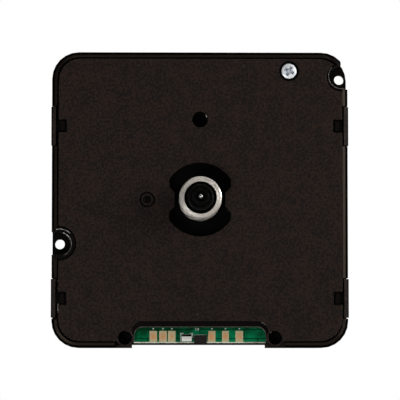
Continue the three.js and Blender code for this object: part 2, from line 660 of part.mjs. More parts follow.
function frontPlate() {
  const locatingAt = { x: 0, z: LOCATING_HOLE_Z }
  const ears = bothSides((side) => ({ x: side * EAR_HOLE_X, z: earHoleZ }))
  const sheet = roundedBox({
    left: -plateHalfWidth, right: plateHalfWidth, bottom: -plateHalfHeight, top: plateHalfHeight,
    lowCorner: CASE_CORNER - CASE_WALL, highCorner: CASE_CORNER - CASE_WALL,
  }, [[0, 0], [PLATE_THICK, 0]])
  const bosses = [
    bar(centre, RECESS_RADIUS + WELL_WALL, PLATE_THICK / 2, wellBack, FINE_SIDES),
    bar(intermediateAt, PIVOT_RING_RADIUS, PLATE_THICK / 2, wellBack),
    bar(locatingAt, LOCATING_HOLE_RADIUS + LOCATING_WALL, PLATE_THICK / 2,
      LOCATING_HOLE_DEPTH + LOCATING_WALL),
    bar(screwAt, SCREW_POCKET_RADIUS, PLATE_THICK / 2, SCREW_BOSS_DEPTH),
    ...pillars.map((at) => bar(at, POST_RADIUS, PLATE_THICK / 2, trainPlateFront, PIN_SIDES)),
  ]
  const holes = [
    prism(recessOutline(), -OVERRUN, RECESS_DEPTH),
    bar(centre, BUSH_SPIGOT_RADIUS + PIVOT_PLAY / 2, -OVERRUN, wellBack + OVERRUN, FINE_SIDES),
    bar(intermediateAt, PIVOT_RADIUS + PIVOT_PLAY, -OVERRUN, wellBack + OVERRUN, PIN_SIDES),
    cut(bar(intermediateAt, PIVOT_RING_RADIUS, -OVERRUN, PIVOT_RING_DEPTH),
      bar(intermediateAt, PIVOT_BOSS_RADIUS, -2 * OVERRUN, PIVOT_RING_DEPTH + OVERRUN)),
    bar(locatingAt, LOCATING_HOLE_RADIUS, -OVERRUN, LOCATING_HOLE_DEPTH),
    bar(screwAt, SCREW_POCKET_RADIUS, -OVERRUN, SCREW_HEAD_SETBACK + SCREW_HEAD_HEIGHT),
    bar(screwAt, SCREW_SHANK_RADIUS + PIVOT_PLAY, -OVERRUN, SCREW_BOSS_DEPTH + OVERRUN, PIN_SIDES),
    ...lugs.map((lug) => bar(lug, lug.mouth + lug.lip + lug.gap, -OVERRUN, SCREW_BOSS_DEPTH)),
    prism(windowOutline(0, 0), -OVERRUN, WINDOW_LEDGE_DEPTH),
    prism(windowOutline(WINDOW_LEDGE_SIDE, WINDOW_LEDGE), 0, boardBack + OVERRUN),
  ]
  const earHoles = ears.map((at) => bar(at, EAR_HOLE_RADIUS, -OVERRUN, EAR_DEPTH))
  const pockets = armPlaces.map(({ side, z }) => {
    const outer = side * (halfWidth + OVERRUN)
    const inner = side * (noseTip - POCKET_GAP)
    const half = NOSE_HEIGHT / 2 + POCKET_GAP
    return block(Math.min(outer, inner), Math.max(outer, inner), -OVERRUN,
      noseBack + PIVOT_PLAY / 2, z - half, z + half)
  })
  const earTubes = ears.map((at) => bar(at, earRadius, 0, boardBack))
  return cut(joined(cut(joined(sheet, ...bosses), ...holes), ...earTubes), ...earHoles, ...pockets)
}

function threadedBush() {
  return turned(centre, [
    [BUSH_BORE_RADIUS, wellBack],
    [BUSH_BORE_RADIUS, -BUSH_LENGTH + BUSH_MOUTH_RADIUS - BUSH_BORE_RADIUS],
    [BUSH_MOUTH_RADIUS, -BUSH_LENGTH], [BUSH_RADIUS - BUSH_CHAMFER, -BUSH_LENGTH],
    [BUSH_RADIUS, -BUSH_LENGTH + BUSH_CHAMFER], [BUSH_RADIUS, RECESS_DEPTH],
    [BUSH_SPIGOT_RADIUS, RECESS_DEPTH], [BUSH_SPIGOT_RADIUS, wellBack], [BUSH_BORE_RADIUS, wellBack],
  ], FINE_SIDES)
}

function caseScrew() {
  const headBack = SCREW_HEAD_SETBACK + SCREW_HEAD_HEIGHT
  const crownRadius = SCREW_HEAD_RADIUS - SCREW_CROWN
  const slotHalf = SCREW_SLOT_WIDTH / 2
  const screw = turned(screwAt, [
    [0, SCREW_HEAD_SETBACK], [crownRadius, SCREW_HEAD_SETBACK],
    [SCREW_HEAD_RADIUS, SCREW_HEAD_SETBACK + SCREW_CROWN / 2], [SCREW_HEAD_RADIUS, headBack],
    [SCREW_SHANK_RADIUS, headBack], [SCREW_SHANK_RADIUS, SCREW_LENGTH],
    [0, SCREW_LENGTH + SCREW_SHANK_RADIUS],
  ])
  const reach = SCREW_SLOT_LENGTH / 2
  const depth = SCREW_HEAD_SETBACK + SCREW_SLOT_DEPTH
  const slot = (halfX, halfZ) => block(screwAt.x - halfX, screwAt.x + halfX, -OVERRUN, depth,
    screwAt.z - halfZ, screwAt.z + halfZ)
  return cut(screw, slot(reach, slotHalf), slot(slotHalf, reach))
}

function hourWheel() {
  const phase = meshedPhase(0, INTERMEDIATE_PINION_TEETH, HOUR_TEETH, 0)
  const bore = MINUTE_PIPE_RADIUS + PIPE_PLAY
  const pipe = turned(centre, [
    [0, -HOUR_PIPE_REACH], [HOUR_PIPE_RADIUS - PIPE_CHAMFER / 2, -HOUR_PIPE_REACH],
    [HOUR_PIPE_RADIUS, -HOUR_PIPE_REACH + PIPE_CHAMFER / 2], [HOUR_PIPE_RADIUS, hourBack],
    [0, hourBack],
  ])
  const wheel = gear(centre, HOUR_TEETH, MOTION_MODULE, phase, wheelToothShares, hourFront, hourBack)
  return cut(joined(pipe, wheel), bar(centre, bore, -HOUR_PIPE_REACH - OVERRUN, hourBack + OVERRUN))
}

// The minute pipe carries its pinion in front of the train plate and the friction seat of the
// minute wheel behind it. Its bore is wide at the tip and close round the seconds arbor behind.
function minutePipe() {
  const seatBack = minuteBack + PIVOT_PLAY
  const pipe = turned(centre, [
    [0, -MINUTE_PIPE_REACH], [MINUTE_PIPE_RADIUS - PIPE_CHAMFER, -MINUTE_PIPE_REACH],
    [MINUTE_PIPE_RADIUS, -MINUTE_PIPE_REACH + PIPE_CHAMFER], [MINUTE_PIPE_RADIUS, seatBack],
    [0, seatBack],
  ])
  const pinion = gear(centre, MINUTE_PINION_TEETH, MOTION_MODULE, 0, pinionToothShares,
    intermediateFront, intermediateBack)
  return cut(joined(pipe, pinion),
    bar(centre, MINUTE_MOUTH_RADIUS, -MINUTE_PIPE_REACH - OVERRUN,
      -MINUTE_PIPE_REACH + MINUTE_MOUTH_DEPTH),
    bar(centre, SECONDS_ARBOR_RADIUS + PIVOT_PLAY, -MINUTE_PIPE_REACH, seatBack + OVERRUN))
}

function minuteWheel() {
  const wheel = gear(centre, MINUTE_TEETH, TRAIN_MODULE, 0, wheelToothShares, minuteFront, minuteBack)
  return cut(wheel, bar(centre, MINUTE_PIPE_RADIUS + PIVOT_PLAY / 2, trainPlateBack, thirdFront))
}

function thirdWheel() {
  const phase = meshedPhase(0, MINUTE_TEETH, TRAIN_PINION_TEETH, 0)
  return joined(
    gear(thirdAt, THIRD_TEETH, thirdModule, 0, wheelToothShares, thirdFront, thirdBack),
    gear(thirdAt, TRAIN_PINION_TEETH, TRAIN_MODULE, phase, pinionToothShares, minuteFront, thirdFront),
    bar(thirdAt, ARBOR_RADIUS, trainPlateFront + PIVOT_PLAY, bearingEnd - PIVOT_PLAY, PIN_SIDES),
  )
}

// The seconds wheel and its pinion, moulded round the arbor.
function secondsWheel() {
  const phase = meshedPhase(0, THIRD_TEETH, TRAIN_PINION_TEETH, Math.PI)
  const wheel = joined(
    gear(centre, SECONDS_TEETH, TRAIN_MODULE, 0, wheelToothShares, secondsFront, secondsBack),
    gear(centre, TRAIN_PINION_TEETH, thirdModule, phase, pinionToothShares, thirdFront, secondsFront),
    bar(centre, HUB_RADIUS, secondsFront, secondsBack + LAYER_GAP),
  )
  return cut(wheel, bar(centre, SECONDS_ARBOR_RADIUS + PIVOT_PLAY / 4, minuteBack, rotorWheelBack,
    PIN_SIDES))
}

// The steel arbor that carries the seconds hand runs the whole depth of the movement.
function secondsArbor() {
  return turned(centre, [
    [0, -SECONDS_ARBOR_REACH], [SECONDS_ARBOR_RADIUS - PIVOT_PLAY, -SECONDS_ARBOR_REACH],
    [SECONDS_ARBOR_RADIUS, -SECONDS_ARBOR_REACH + PIVOT_PLAY],
    [SECONDS_ARBOR_RADIUS, bearingEnd - PIVOT_PLAY], [0, bearingEnd - PIVOT_PLAY],
  ], PIN_SIDES)
}

// The rotor wheel turns on a fixed pin of the case.
function rotorWheel() {
  const phase = meshedPhase(0, SECONDS_TEETH, TRAIN_PINION_TEETH, Math.PI / 2)
  const wheel = joined(
    gear(rotorWheelAt, ROTOR_WHEEL_TEETH, TRAIN_MODULE, 0, wheelToothShares,
      rotorWheelFront, rotorWheelBack),
    gear(rotorWheelAt, TRAIN_PINION_TEETH, TRAIN_MODULE, phase, pinionToothShares,
      secondsFront, rotorWheelFront),
    bar(rotorWheelAt, HUB_RADIUS, rotorWheelFront, statorFront),
  )
  return cut(wheel, bar(rotorWheelAt, ARBOR_RADIUS + PIVOT_PLAY / 2, thirdFront, statorBack,
    PIN_SIDES))
}

function rotorPinion() {
  const phase = meshedPhase(0, ROTOR_WHEEL_TEETH, ROTOR_PINION_TEETH, ROTOR_BEARING_ANGLE)
  return joined(
    gear(rotorAt, ROTOR_PINION_TEETH, TRAIN_MODULE, phase, pinionToothShares,
      rotorWheelFront, magnetFront),
    bar(rotorAt, ARBOR_RADIUS, trainPlateFront + PIVOT_PLAY, bearingEnd - PIVOT_PLAY, PIN_SIDES),
  )
}

function rotorMagnet() {
  return cut(
    bar(rotorAt, MAGNET_RADIUS, magnetFront, magnetBack, 2 * PIN_SIDES),
    bar(rotorAt, ARBOR_RADIUS + PIVOT_PLAY / 4, magnetFront - OVERRUN, magnetBack + OVERRUN, PIN_SIDES),
  )
}

// Intermediate wheel with its pinion, a front pivot seen in the plate, and a socket for the knob.
function intermediateWheel() {
  const phase = meshedPhase(0, MINUTE_PINION_TEETH, INTERMEDIATE_TEETH, Math.PI)
  const wheel = joined(
    gear(intermediateAt, INTERMEDIATE_TEETH, MOTION_MODULE, phase, wheelToothShares,
      intermediateFront, intermediateBack),
    gear(intermediateAt, INTERMEDIATE_PINION_TEETH, MOTION_MODULE, 0, pinionToothShares,
      hourFront, intermediateFront),
    bar(intermediateAt, PIVOT_RADIUS, PIVOT_RING_DEPTH, hourFront, PIN_SIDES),
  )
  return cut(wheel, bar(intermediateAt, KNOB_SHAFT_RADIUS + PIVOT_PLAY / 2, hourBack,
    trainPlateFront, PIN_SIDES))
}

// The knob: fluted round its rim, domed at its edge and dished on its face.
function settingKnob() {
  const fluteModule = 2 * KNOB_RADIUS / KNOB_FLUTES
  const outline = toothOutline(intermediateAt, KNOB_FLUTES, fluteModule, 0, fluteShares)
  const knobFront = knobBack - KNOB_THICK
  const knob = prism(polygon(outline), knobFront, knobBack)
  const crown = bar(intermediateAt, KNOB_RADIUS + KNOB_DOME, knobFront - OVERRUN, knobBack,
    FINE_SIDES, KNOB_RADIUS - KNOB_DOME)
  const dish = bar(intermediateAt, KNOB_DISH_RADIUS - KNOB_DISH_DEPTH, knobBack - KNOB_DISH_DEPTH,
    knobBack + KNOB_DISH_DEPTH, ROUND_SIDES, KNOB_DISH_RADIUS + KNOB_DISH_DEPTH)
  const shaft = bar(intermediateAt, KNOB_SHAFT_RADIUS, hourBack + PIVOT_PLAY,
    knobFront + REAR_EDGE, PIN_SIDES)
  return joined(cut(knob.intersect(crown), dish), shaft)
}

function trainPlate() {
  const margin = PILLAR_RADIUS + PLATE_GAP
  const sheet = roundedBox({
    left: Math.min(...pillars.map(({ x }) => x)) - margin,
    right: Math.max(...pillars.map(({ x }) => x)) + margin,
    bottom: pillarLowZ - margin, top: motionDistance + margin,
    lowCorner: PILLAR_RADIUS, highCorner: PILLAR_RADIUS,
  }, [[trainPlateFront, 0], [trainPlateBack, 0]])
  const through = (at, radius, sides) => bar(
    at, radius, trainPlateFront - OVERRUN, trainPlateBack + OVERRUN, sides,
  )
  return cut(sheet,
    through(centre, MINUTE_PIPE_RADIUS + PIPE_PLAY, ROUND_SIDES),
    through(intermediateAt, KNOB_SHAFT_RADIUS + PIPE_PLAY, ROUND_SIDES),
    through(thirdAt, ARBOR_RADIUS + PIVOT_PLAY, PIN_SIDES),
    through(rotorAt, ARBOR_RADIUS + PIVOT_PLAY, PIN_SIDES))
}

// The stator: a ring round the magnet with a limb to each end of the coil core.
function stator() {
  const ringRadius = MAGNET_RADIUS + AIR_GAP + STATOR_RING_WIDTH
  const half = STATOR_LIMB_WIDTH / 2
  const limbs = bothSides((side) => joined(
    block(side * fixingX - half, side * fixingX + half, statorFront, statorBack,
      rotorAt.z - half, coilZ + half),
    block(Math.min(side * fixingX - half, rotorAt.x), Math.max(side * fixingX + half, rotorAt.x),
      statorFront, statorBack, rotorAt.z - half, rotorAt.z + half),
  ))
  return cut(
    joined(...limbs, bar(rotorAt, ringRadius, statorFront, statorBack)),
    bar(rotorAt, MAGNET_RADIUS + AIR_GAP, statorFront - OVERRUN, statorBack + OVERRUN),
    ...fixings.map((at) => bar(at, FIXING_PIN_RADIUS + PIVOT_PLAY, statorFront - OVERRUN,
      statorBack + OVERRUN, PIN_SIDES)),
  )
}

function coilCore() {
  return cut(
    block(-CORE_HALF_LENGTH, CORE_HALF_LENGTH, coreFront, statorFront,
      coilZ - CORE_HEIGHT / 2, coilZ + CORE_HEIGHT / 2),
    ...fixings.map((at) => bar(at, FIXING_PIN_RADIUS + PIVOT_PLAY, coreFront - OVERRUN,
      statorFront + OVERRUN, PIN_SIDES)),
  )
}

// A box section along X round the core, grown on every side.
function sleeve(halfLength, growHeight, growDepth) {
  return block(-halfLength, halfLength, coreFront - growDepth, statorFront + growDepth,
    coilZ - CORE_HEIGHT / 2 - growHeight, coilZ + CORE_HEIGHT / 2 + growHeight)
}

function coilBobbin() {
  const flangeDepth = COIL_HALF_DEPTH - STATOR_THICK / 2
  const flangeHeight = COIL_HALF_HEIGHT - CORE_HEIGHT / 2
  return cut(
    joined(
      sleeve(coilHalfLength, BOBBIN_WALL, BOBBIN_WALL),
      ...bothSides((side) => block(
        Math.min(side * coilHalfLength, side * (coilHalfLength - BOBBIN_FLANGE)),
        Math.max(side * coilHalfLength, side * (coilHalfLength - BOBBIN_FLANGE)),
        coreFront - flangeDepth, statorFront + flangeDepth,
        coilZ - CORE_HEIGHT / 2 - flangeHeight, coilZ + CORE_HEIGHT / 2 + flangeHeight,
      )),
    ),
    sleeve(coilHalfLength + OVERRUN, PIVOT_PLAY / 2, PIVOT_PLAY / 2),
  )
}

function coilWinding() {
  const halfLength = coilHalfLength - BOBBIN_FLANGE
  const wireDepth = COIL_HALF_DEPTH - STATOR_THICK / 2 - BOBBIN_WALL / 2
  const wireHeight = COIL_HALF_HEIGHT - CORE_HEIGHT / 2 - BOBBIN_WALL / 2
  return cut(
    sleeve(halfLength, wireHeight, wireDepth),
    sleeve(halfLength + OVERRUN, BOBBIN_WALL + PIVOT_PLAY / 4, BOBBIN_WALL + PIVOT_PLAY / 4),
  )
}

// The board is widest behind the plate, narrows to the window between the two ears, and has an
// arm up the right side for the crystal and the chip.
function circuitBoard() {
  const tongueHalf = WINDOW_HALF_WIDTH - WINDOW_LEDGE_SIDE
  const shoulder = earHoleZ + earRadius + PLATE_GAP
  const side = boardArmRight
  const outline = polygon([
    [-tongueHalf, boardBottom], [tongueHalf, boardBottom], [tongueHalf, shoulder], [side, shoulder],
    [side, BOARD_ARM_TOP], [side - BOARD_ARM_WIDTH, BOARD_ARM_TOP], [side - BOARD_ARM_WIDTH, boardTop],
    [-side, boardTop], [-side, shoulder], [-tongueHalf, shoulder],
  ])
  return prism(outline, BOARD_FRONT, boardBack)
}

// The positive contact: a flat strip on the end wall with a narrow foot to the board.
function contactPlus() {
  const outer = -innerHalfWidth
  const inner = outer + CONTACT_THICK
  return joined(
    block(outer, inner, bayFloor, bayFloor + CONTACT_HEIGHT,
      cellZ - CONTACT_WIDTH / 2, cellZ + CONTACT_WIDTH / 2),
    block(outer, inner, boardBack, bayFloor + CONTACT_HEIGHT / 2,
      cellZ - CONTACT_FOOT_WIDTH / 2, cellZ + CONTACT_FOOT_WIDTH / 2),
  )
}

// A strip of even thickness along a path in X and Y, thickened to the left of its direction.
function ribbon(path, thick) {
  const offset = path.map(([x, y], i) => {
    const [beforeX, beforeY] = path[Math.max(i - 1, 0)]
    const [afterX, afterY] = path[Math.min(i + 1, path.length - 1)]
    const length = Math.hypot(afterX - beforeX, afterY - beforeY)
    return [x - thick * (afterY - beforeY) / length, y + thick * (afterX - beforeX) / length]
  })
  return polygon([...path, ...offset.reverse()])
}

// The negative contact: the strip turns over at its top and bows inwards as a leaf spring.
function contactMinus() {
  const outer = innerHalfWidth
  const top = bayFloor + CONTACT_HEIGHT
  const bow = CELL_END_ROOM - 2 * CONTACT_THICK
  const leaf = ribbon([
    [outer, boardBack], [outer, top], [outer - 2 * CONTACT_THICK, top + CONTACT_THICK],
    [outer - 3 * CONTACT_THICK, top], [outer - bow, bayFloor + CELL_DIAMETER / 2],
    [outer - 3 * CONTACT_THICK, bayFloor + CELL_DIAMETER / 5],
  ], CONTACT_THICK)
  const strip = upright(leaf, cellZ - CONTACT_WIDTH / 2, cellZ + CONTACT_WIDTH / 2)
  const shoulders = bothSides((side) => {
    const near = cellZ + side * CONTACT_FOOT_WIDTH / 2
    const far = cellZ + side * (CONTACT_WIDTH / 2 + OVERRUN)
    return block(outer - 2 * CONTACT_THICK, outer + OVERRUN, boardBack - OVERRUN,
      bayFloor + CONTACT_PLAY, Math.min(near, far), Math.max(near, far))
  })
  return cut(strip, ...shoulders)
}

// The crystal lies on the arm of the board, with its can along Z.
function quartzCrystal() {
  const geometry = new THREE.CylinderGeometry(CRYSTAL_RADIUS, CRYSTAL_RADIUS, CRYSTAL_LENGTH, ROUND_SIDES)
  geometry.rotateX(Math.PI / 2)
  return solidOf(geometry.translate(boardArmX, boardBack + CRYSTAL_RADIUS, -CRYSTAL_LENGTH / 2))
}

// The drive chip is bonded to the board under a drop of epoxy, round as a cap of a sphere.
function driveChip() {
  const at = { x: boardArmX, z: BOARD_ARM_TOP / 2 }
  const ballRadius = (CHIP_RADIUS ** 2 + CHIP_HEIGHT ** 2) / (2 * CHIP_HEIGHT)
  const reach = Math.asin(CHIP_RADIUS / ballRadius)
  const profile = [[0, boardBack]]
  for (let step = 0; step <= CORNER_STEPS; step++) {
    const angle = reach * (1 - step / CORNER_STEPS)
    const rise = ballRadius * Math.cos(angle) - ballRadius + CHIP_HEIGHT
    profile.push([ballRadius * Math.sin(angle), boardBack + rise])
  }
  return turned(at, profile, PIN_SIDES)
}

const capacitor = {
  x: CAPACITOR_X, width: CAPACITOR_WIDTH, height: CAPACITOR_HEIGHT, thick: CAPACITOR_THICK,
  rise: CAPACITOR_RISE,
}
const diode = {
  x: DIODE_X, width: DIODE_WIDTH, height: DIODE_HEIGHT, thick: DIODE_THICK, rise: DIODE_RISE,
}

// A small part on the front of the board, just above its lower edge.
function surfacePart({ x, width, height, thick, rise }) {
  const bottom = boardBottom + rise
  return block(x - width / 2, x + width / 2, BOARD_FRONT - thick, BOARD_FRONT, bottom, bottom + height)
}

const pieces = [
  piece('rear_case', rearCase(), 'blackPlastic'),
  piece('front_plate', frontPlate(), 'blackPlastic'),
  piece('threaded_bush', threadedBush(), 'nickel'),
  piece('case_screw', caseScrew(), 'zinc'),
  piece('train_plate', trainPlate(), 'whitePlastic'),
  piece('hour_wheel', hourWheel(), 'pipePlastic'),
  piece('minute_pipe', minutePipe(), 'pipePlastic'),
  piece('minute_wheel', minuteWheel(), 'whitePlastic'),
  piece('third_wheel', thirdWheel(), 'whitePlastic'),
  piece('seconds_wheel', secondsWheel(), 'whitePlastic'),
  piece('seconds_arbor', secondsArbor(), 'steel'),
  piece('rotor_wheel', rotorWheel(), 'whitePlastic'),
  piece('rotor_pinion', rotorPinion(), 'whitePlastic'),
  piece('rotor_magnet', rotorMagnet(), 'magnet'),
  piece('intermediate_wheel', intermediateWheel(), 'whitePlastic'),
  piece('setting_knob', settingKnob(), 'blackPlastic'),
  piece('stator', stator(), 'steel'),
  piece('coil_core', coilCore(), 'steel'),
  piece('coil_bobbin', coilBobbin(), 'whitePlastic'),
  piece('coil_winding', coilWinding(), 'copper'),
  piece('circuit_board', circuitBoard(), 'board'),
  piece('quartz_crystal', quartzCrystal(), 'steel'),
  piece('drive_chip', driveChip(), 'epoxy'),
  piece('chip_capacitor', surfacePart(capacitor), 'zinc'),
  piece('chip_diode', surfacePart(diode), 'epoxy'),
  piece('contact_plus', contactPlus(), 'nickel'),
  piece('contact_minus', contactMinus(), 'nickel'),
]

// Stood on its lower edge, with the middle of its whole depth over the origin.
const movement = new THREE.Group()
movement.name = 'quartz_clock_movement'
movement.position.set(0, (SECONDS_ARBOR_REACH - Math.max(bayBack, knobBack)) / 2, halfHeight)
movement.add(...pieces)

export default movement
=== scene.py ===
# The looks of a quartz clock movement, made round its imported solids. Lengths are in metres.
import json
import math

import bmesh
import bpy
import numpy as np
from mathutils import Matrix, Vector


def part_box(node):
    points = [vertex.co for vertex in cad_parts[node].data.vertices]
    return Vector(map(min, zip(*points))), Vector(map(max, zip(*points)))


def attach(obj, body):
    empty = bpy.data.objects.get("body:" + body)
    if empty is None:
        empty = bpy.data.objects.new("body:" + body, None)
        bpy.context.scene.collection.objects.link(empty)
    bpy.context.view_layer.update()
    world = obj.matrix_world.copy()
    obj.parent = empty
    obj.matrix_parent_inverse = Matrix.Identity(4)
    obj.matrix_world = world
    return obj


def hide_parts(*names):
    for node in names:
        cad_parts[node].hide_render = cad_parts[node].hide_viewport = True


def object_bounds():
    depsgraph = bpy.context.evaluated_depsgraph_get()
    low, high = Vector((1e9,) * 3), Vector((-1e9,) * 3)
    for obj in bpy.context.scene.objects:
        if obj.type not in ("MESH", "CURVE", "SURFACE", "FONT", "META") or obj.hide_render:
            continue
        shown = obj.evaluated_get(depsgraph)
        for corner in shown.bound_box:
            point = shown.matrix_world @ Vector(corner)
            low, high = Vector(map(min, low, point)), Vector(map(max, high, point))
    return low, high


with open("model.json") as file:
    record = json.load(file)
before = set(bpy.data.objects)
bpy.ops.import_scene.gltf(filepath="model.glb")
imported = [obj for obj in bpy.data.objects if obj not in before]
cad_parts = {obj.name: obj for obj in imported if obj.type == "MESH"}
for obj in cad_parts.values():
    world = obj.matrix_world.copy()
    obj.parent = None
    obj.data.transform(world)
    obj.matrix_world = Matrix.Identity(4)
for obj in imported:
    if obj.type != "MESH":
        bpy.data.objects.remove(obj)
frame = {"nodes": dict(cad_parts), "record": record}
cad_low, cad_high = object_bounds()

# Places from the frame: the boxes of the case, plate, board and bush, the plate's front face, the
# middle of the bush's tip, and the lugs
case_low, case_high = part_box("rear_case")
plate_low, plate_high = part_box("front_plate")
board_low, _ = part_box("circuit_board")
bush_low, bush_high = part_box("threaded_bush")
dial_face = plate_low.y
bush_tip = ((bush_low.x + bush_high.x) / 2, bush_low.y, (bush_low.z + bush_high.z) / 2)
lugs = [Vector(mount["pos_m"]) for mount in frame["record"]["mounts"] if mount["name"].endswith("_lug")]

# Camera: the photograph's angle, distance and scale at the dial's plane
CAMERA_DISTANCE = 0.480
CAMERA_LEFT = math.radians(1.0)
CAMERA_BELOW = math.radians(3.4)
SENSOR_MM = 36.0
VIEW_WIDTH = 0.0758
AIM_DROP = 0.00010
CLIP_START = 0.01

# Rounding of the edges of each kind of piece
CASE_EDGE = 0.00009
PLATE_EDGE = 0.00008
PIPE_EDGE = 0.00006
METAL_EDGE = 0.00004
KNOB_EDGE = 0.00012
EDGE_ROOM_SHARE = 0.4
LEAST_EDGE = 0.000008
IN_LINE_COSINE = 0.9
MERGE_DISTANCE = 0.000002
FLAT_ANGLE = math.radians(0.6)
FLAT_WEIGHT = 100
SHARP_ANGLE = math.radians(33)

# Depths behind the plate's front face that tell faces apart: sunk ones are smoother and painted darker,
# deep ones painted nearly black, as shade. The rim's faces lie less deep than RIM_DEPTH, the hooks' between
# HOOK_DEPTH and it
SUNK_DEPTH = 0.00005
DEEP_DEPTH = 0.0015
RIM_DEPTH = 0.00065
HOOK_DEPTH = 0.0004

# A lug's faces lie within LUG_REACH of its place. A face of the rim counts as round where the y of its
# normal, which is -1 on a flat front, is over ROUNDED
LUG_REACH = 0.0034
ROUNDED = -0.97

# The rim's front leans back from its inner edge, at RIM_WIDTH from the outline, to RIM_FLAT from it
RIM_LEAN = 0.00020
RIM_WIDTH = 0.0010
RIM_FLAT = 0.00058
CASE_CORNER = 0.0051

# The plate sits to the right in the case, so its right edge comes this much closer to the rim
PLATE_SHIFT = 0.0002
SHIFT_REACH = 0.004
SHIFT_POWER = 4.0

# Lip on the left lug, as far behind the plate's face as the beads on the lugs and the hole: the middle
# of its round, then its two radii and the angles between which it runs
LIP_SETBACK = 0.00012
LIP_HEIGHT = 0.0010
LEFT_LUG = (-0.0267, 0.0198)
LEFT_LIP = (0.0022, 0.00305, math.radians(-112), math.radians(112))

# Light beads, painted highlights, on the edges of the lugs, of the locating hole and of the window's upper
# right corner: the middle of each arc, where it isn't worked out, then its radius and the angles between
# which it runs
BEAD_RADIUS = 0.00008
BEAD_SIDES = 12
ARC_STEPS = 48
LEFT_EDGE = (-0.02655, 0.01962)
LEFT_BRIGHT_HIGHLIGHTS = ((0.00222, math.radians(22), math.radians(74)), (0.00285, math.radians(46), math.radians(104)))
LEFT_DIM_HIGHLIGHT = (0.00222, math.radians(-70), math.radians(22))
RIGHT_DIM_HIGHLIGHT = (0.0269, 0.0517, 0.00246, math.radians(138), math.radians(283))
HOLE_GLINT = (0.0, 0.0433, 0.00138, math.radians(18), math.radians(38))
WINDOW_HIGHLIGHT = (0.00265, math.radians(12), math.radians(72))

# Light bead on the edge of the ledge behind the window, a painted highlight: its heights over the lower edge,
# its corners and its depth
LEDGE_TOP = 0.0040
LEDGE_FOOT = 0.0012
LEDGE_CORNER = 0.0017
LEDGE_DEPTH = 0.0006

# Dark ring that paints the shade of the bearing's countersink: its two radii, and how far it stands off the
# plate
SINK_SHADE_RADII = (0.00062, 0.00078)
SINK_SHADE_RISE = 0.00001

# Bush: wall and spigot as in its solid, the marks of the lathe on its face, and the thread
BUSH_WALL = 0.00135
MOUTH_WALL = 0.00093
MOUTH_ROLL = 0.00005
MOUTH_TAPER = 0.0030
SPIGOT_STEP = 0.0005
SPIGOT_LENGTH = 0.001
FACE_GROOVE_DEPTH = 0.00007
FACE_GROOVE_SHARES = (0.36, 0.46, 0.60, 0.66)
THREAD_PITCH = 0.00075
THREAD_DEPTH = 0.0004
THREAD_CREST_SHARE = 0.2
THREAD_ROOT_SHARE = 0.15
THREAD_CHAMFER = 0.0003
BUSH_COLUMNS = 128
ROWS_PER_TURN = 10

# Seconds pin: a domed tip, drawn as turns of a quarter ellipse
PIN_DOME = 0.00040
PIN_COLUMNS = 48
DOME_ROWS = 10

# Screw: a crowned head with a cross recess, on a plain shank
HEAD_HEIGHT = 0.00075
HEAD_CROWN = 0.00022
CROWN_POWER = 3.0
SHANK_RADIUS = 0.00085
SHANK_POINT = 0.00085
CROSS_TURN = math.radians(63)
CROSS_HALF_WIDTH = 0.00030
CROSS_HALF_LENGTH = 0.00098
CROSS_MIDDLE = 0.00026
CROSS_SLOPE = 0.00026
CROSS_DEPTH = 0.00050
RECESS_FLAT = -0.9
HEAD_SHARE = 0.91
HEAD_ROWS = 56
HEAD_COLUMNS = 128

# The board's lower edge as the photograph shows it, from the middle of the case. A pad's spread says how
# small its worn middle is, and the pad of index FLARED_PAD is wider at its foot
BOARD_SKIN = 0.000035
TONGUE_HALF = 0.0125
SCORE_HEIGHT = 0.00034
PAD_HEIGHT = 0.00210
PAD_CUT = 0.00005
PAD_MIDDLES = (-0.00883, -0.00698, -0.00533, 0.00231, 0.00486, 0.00749)
PAD_WIDTHS = (0.00142, 0.00144, 0.00143, 0.00128, 0.00130, 0.00146)
PAD_SPREADS = (1.0, 1.0, 1.5, 0.9, 1.0, 1.1)
FLARED_PAD = 3
FLARE = 0.00024
MARK_RISE = 0.00042
MARK_SIZE = 0.00030
MARK_SIDES = 6
MARK_KINDS = 3
DASH_FIRST = -0.00085
DASH_STEP = 0.00028
DASH_COUNT = 3
DASH_DROP = 0.00012
DASH_LENGTH = 0.00046
DASH_WIDTH = 0.00010
SILK_LINE = 0.00012
SILK_GAP = 0.00012
SILK_CORNER_SHARE = 0.42
BAND_SHARE = 0.30
# Height of the near-black painted shadow line along the board's lower edge
SHADOW_LINE_HEIGHT = 0.00014

# Scales of the patterns, in features to a metre
PATCH_SCALE = 420.0
MOTTLE_SCALE = 2300.0
GRAIN_SCALE = 6500.0
DUST_SCALE = 1500.0
METAL_DRIFT_SCALE = 900.0
METAL_MARK_SCALE = 3000.0
LATHE_SCALE = 2100.0
TRACK_SCALE = 620.0

# Noise of each pattern: how many finer layers it has, and how much each finer one counts
GRAIN_NOISE = {"detail": 3.0, "rough": 0.65}
PATCH_NOISE = {"detail": 4.0, "rough": 0.6}
MOTTLE_NOISE = {"detail": 3.0, "rough": 0.7}
DUST_NOISE = {"detail": 0.0, "rough": 0.5}
MARK_NOISE = {"detail": 4.0, "rough": 0.7}
DRIFT_NOISE = {"detail": 2.0, "rough": 0.5}
STREAK_NOISE = {"detail": 4.0, "rough": 0.65}
TRACK_NOISE = {"detail": 3.0, "rough": 0.5}
WEAR_NOISE = {"detail": 3.0, "rough": 0.5}

# Two values of a pattern between which a finish goes from its first tone or roughness to its second
CLOUD_SPAN = (2.19, 2.63)
GRAIN_SPAN = (0.3, 0.7)
DRIFT_SPAN = (0.35, 0.65)
STREAK_SPAN = (0.45, 0.95)
SHADE_AND_PATCH_SPAN = (0.08, 0.48)
PAD_SPAN = (0.45, 1.2)

# Roughness of the pads, the groups' usual one, and the noise above which dust shows
PAD_ROUGHNESS = (0.35, 0.6)
SATIN = 0.5
DUST_LIMIT = 0.83

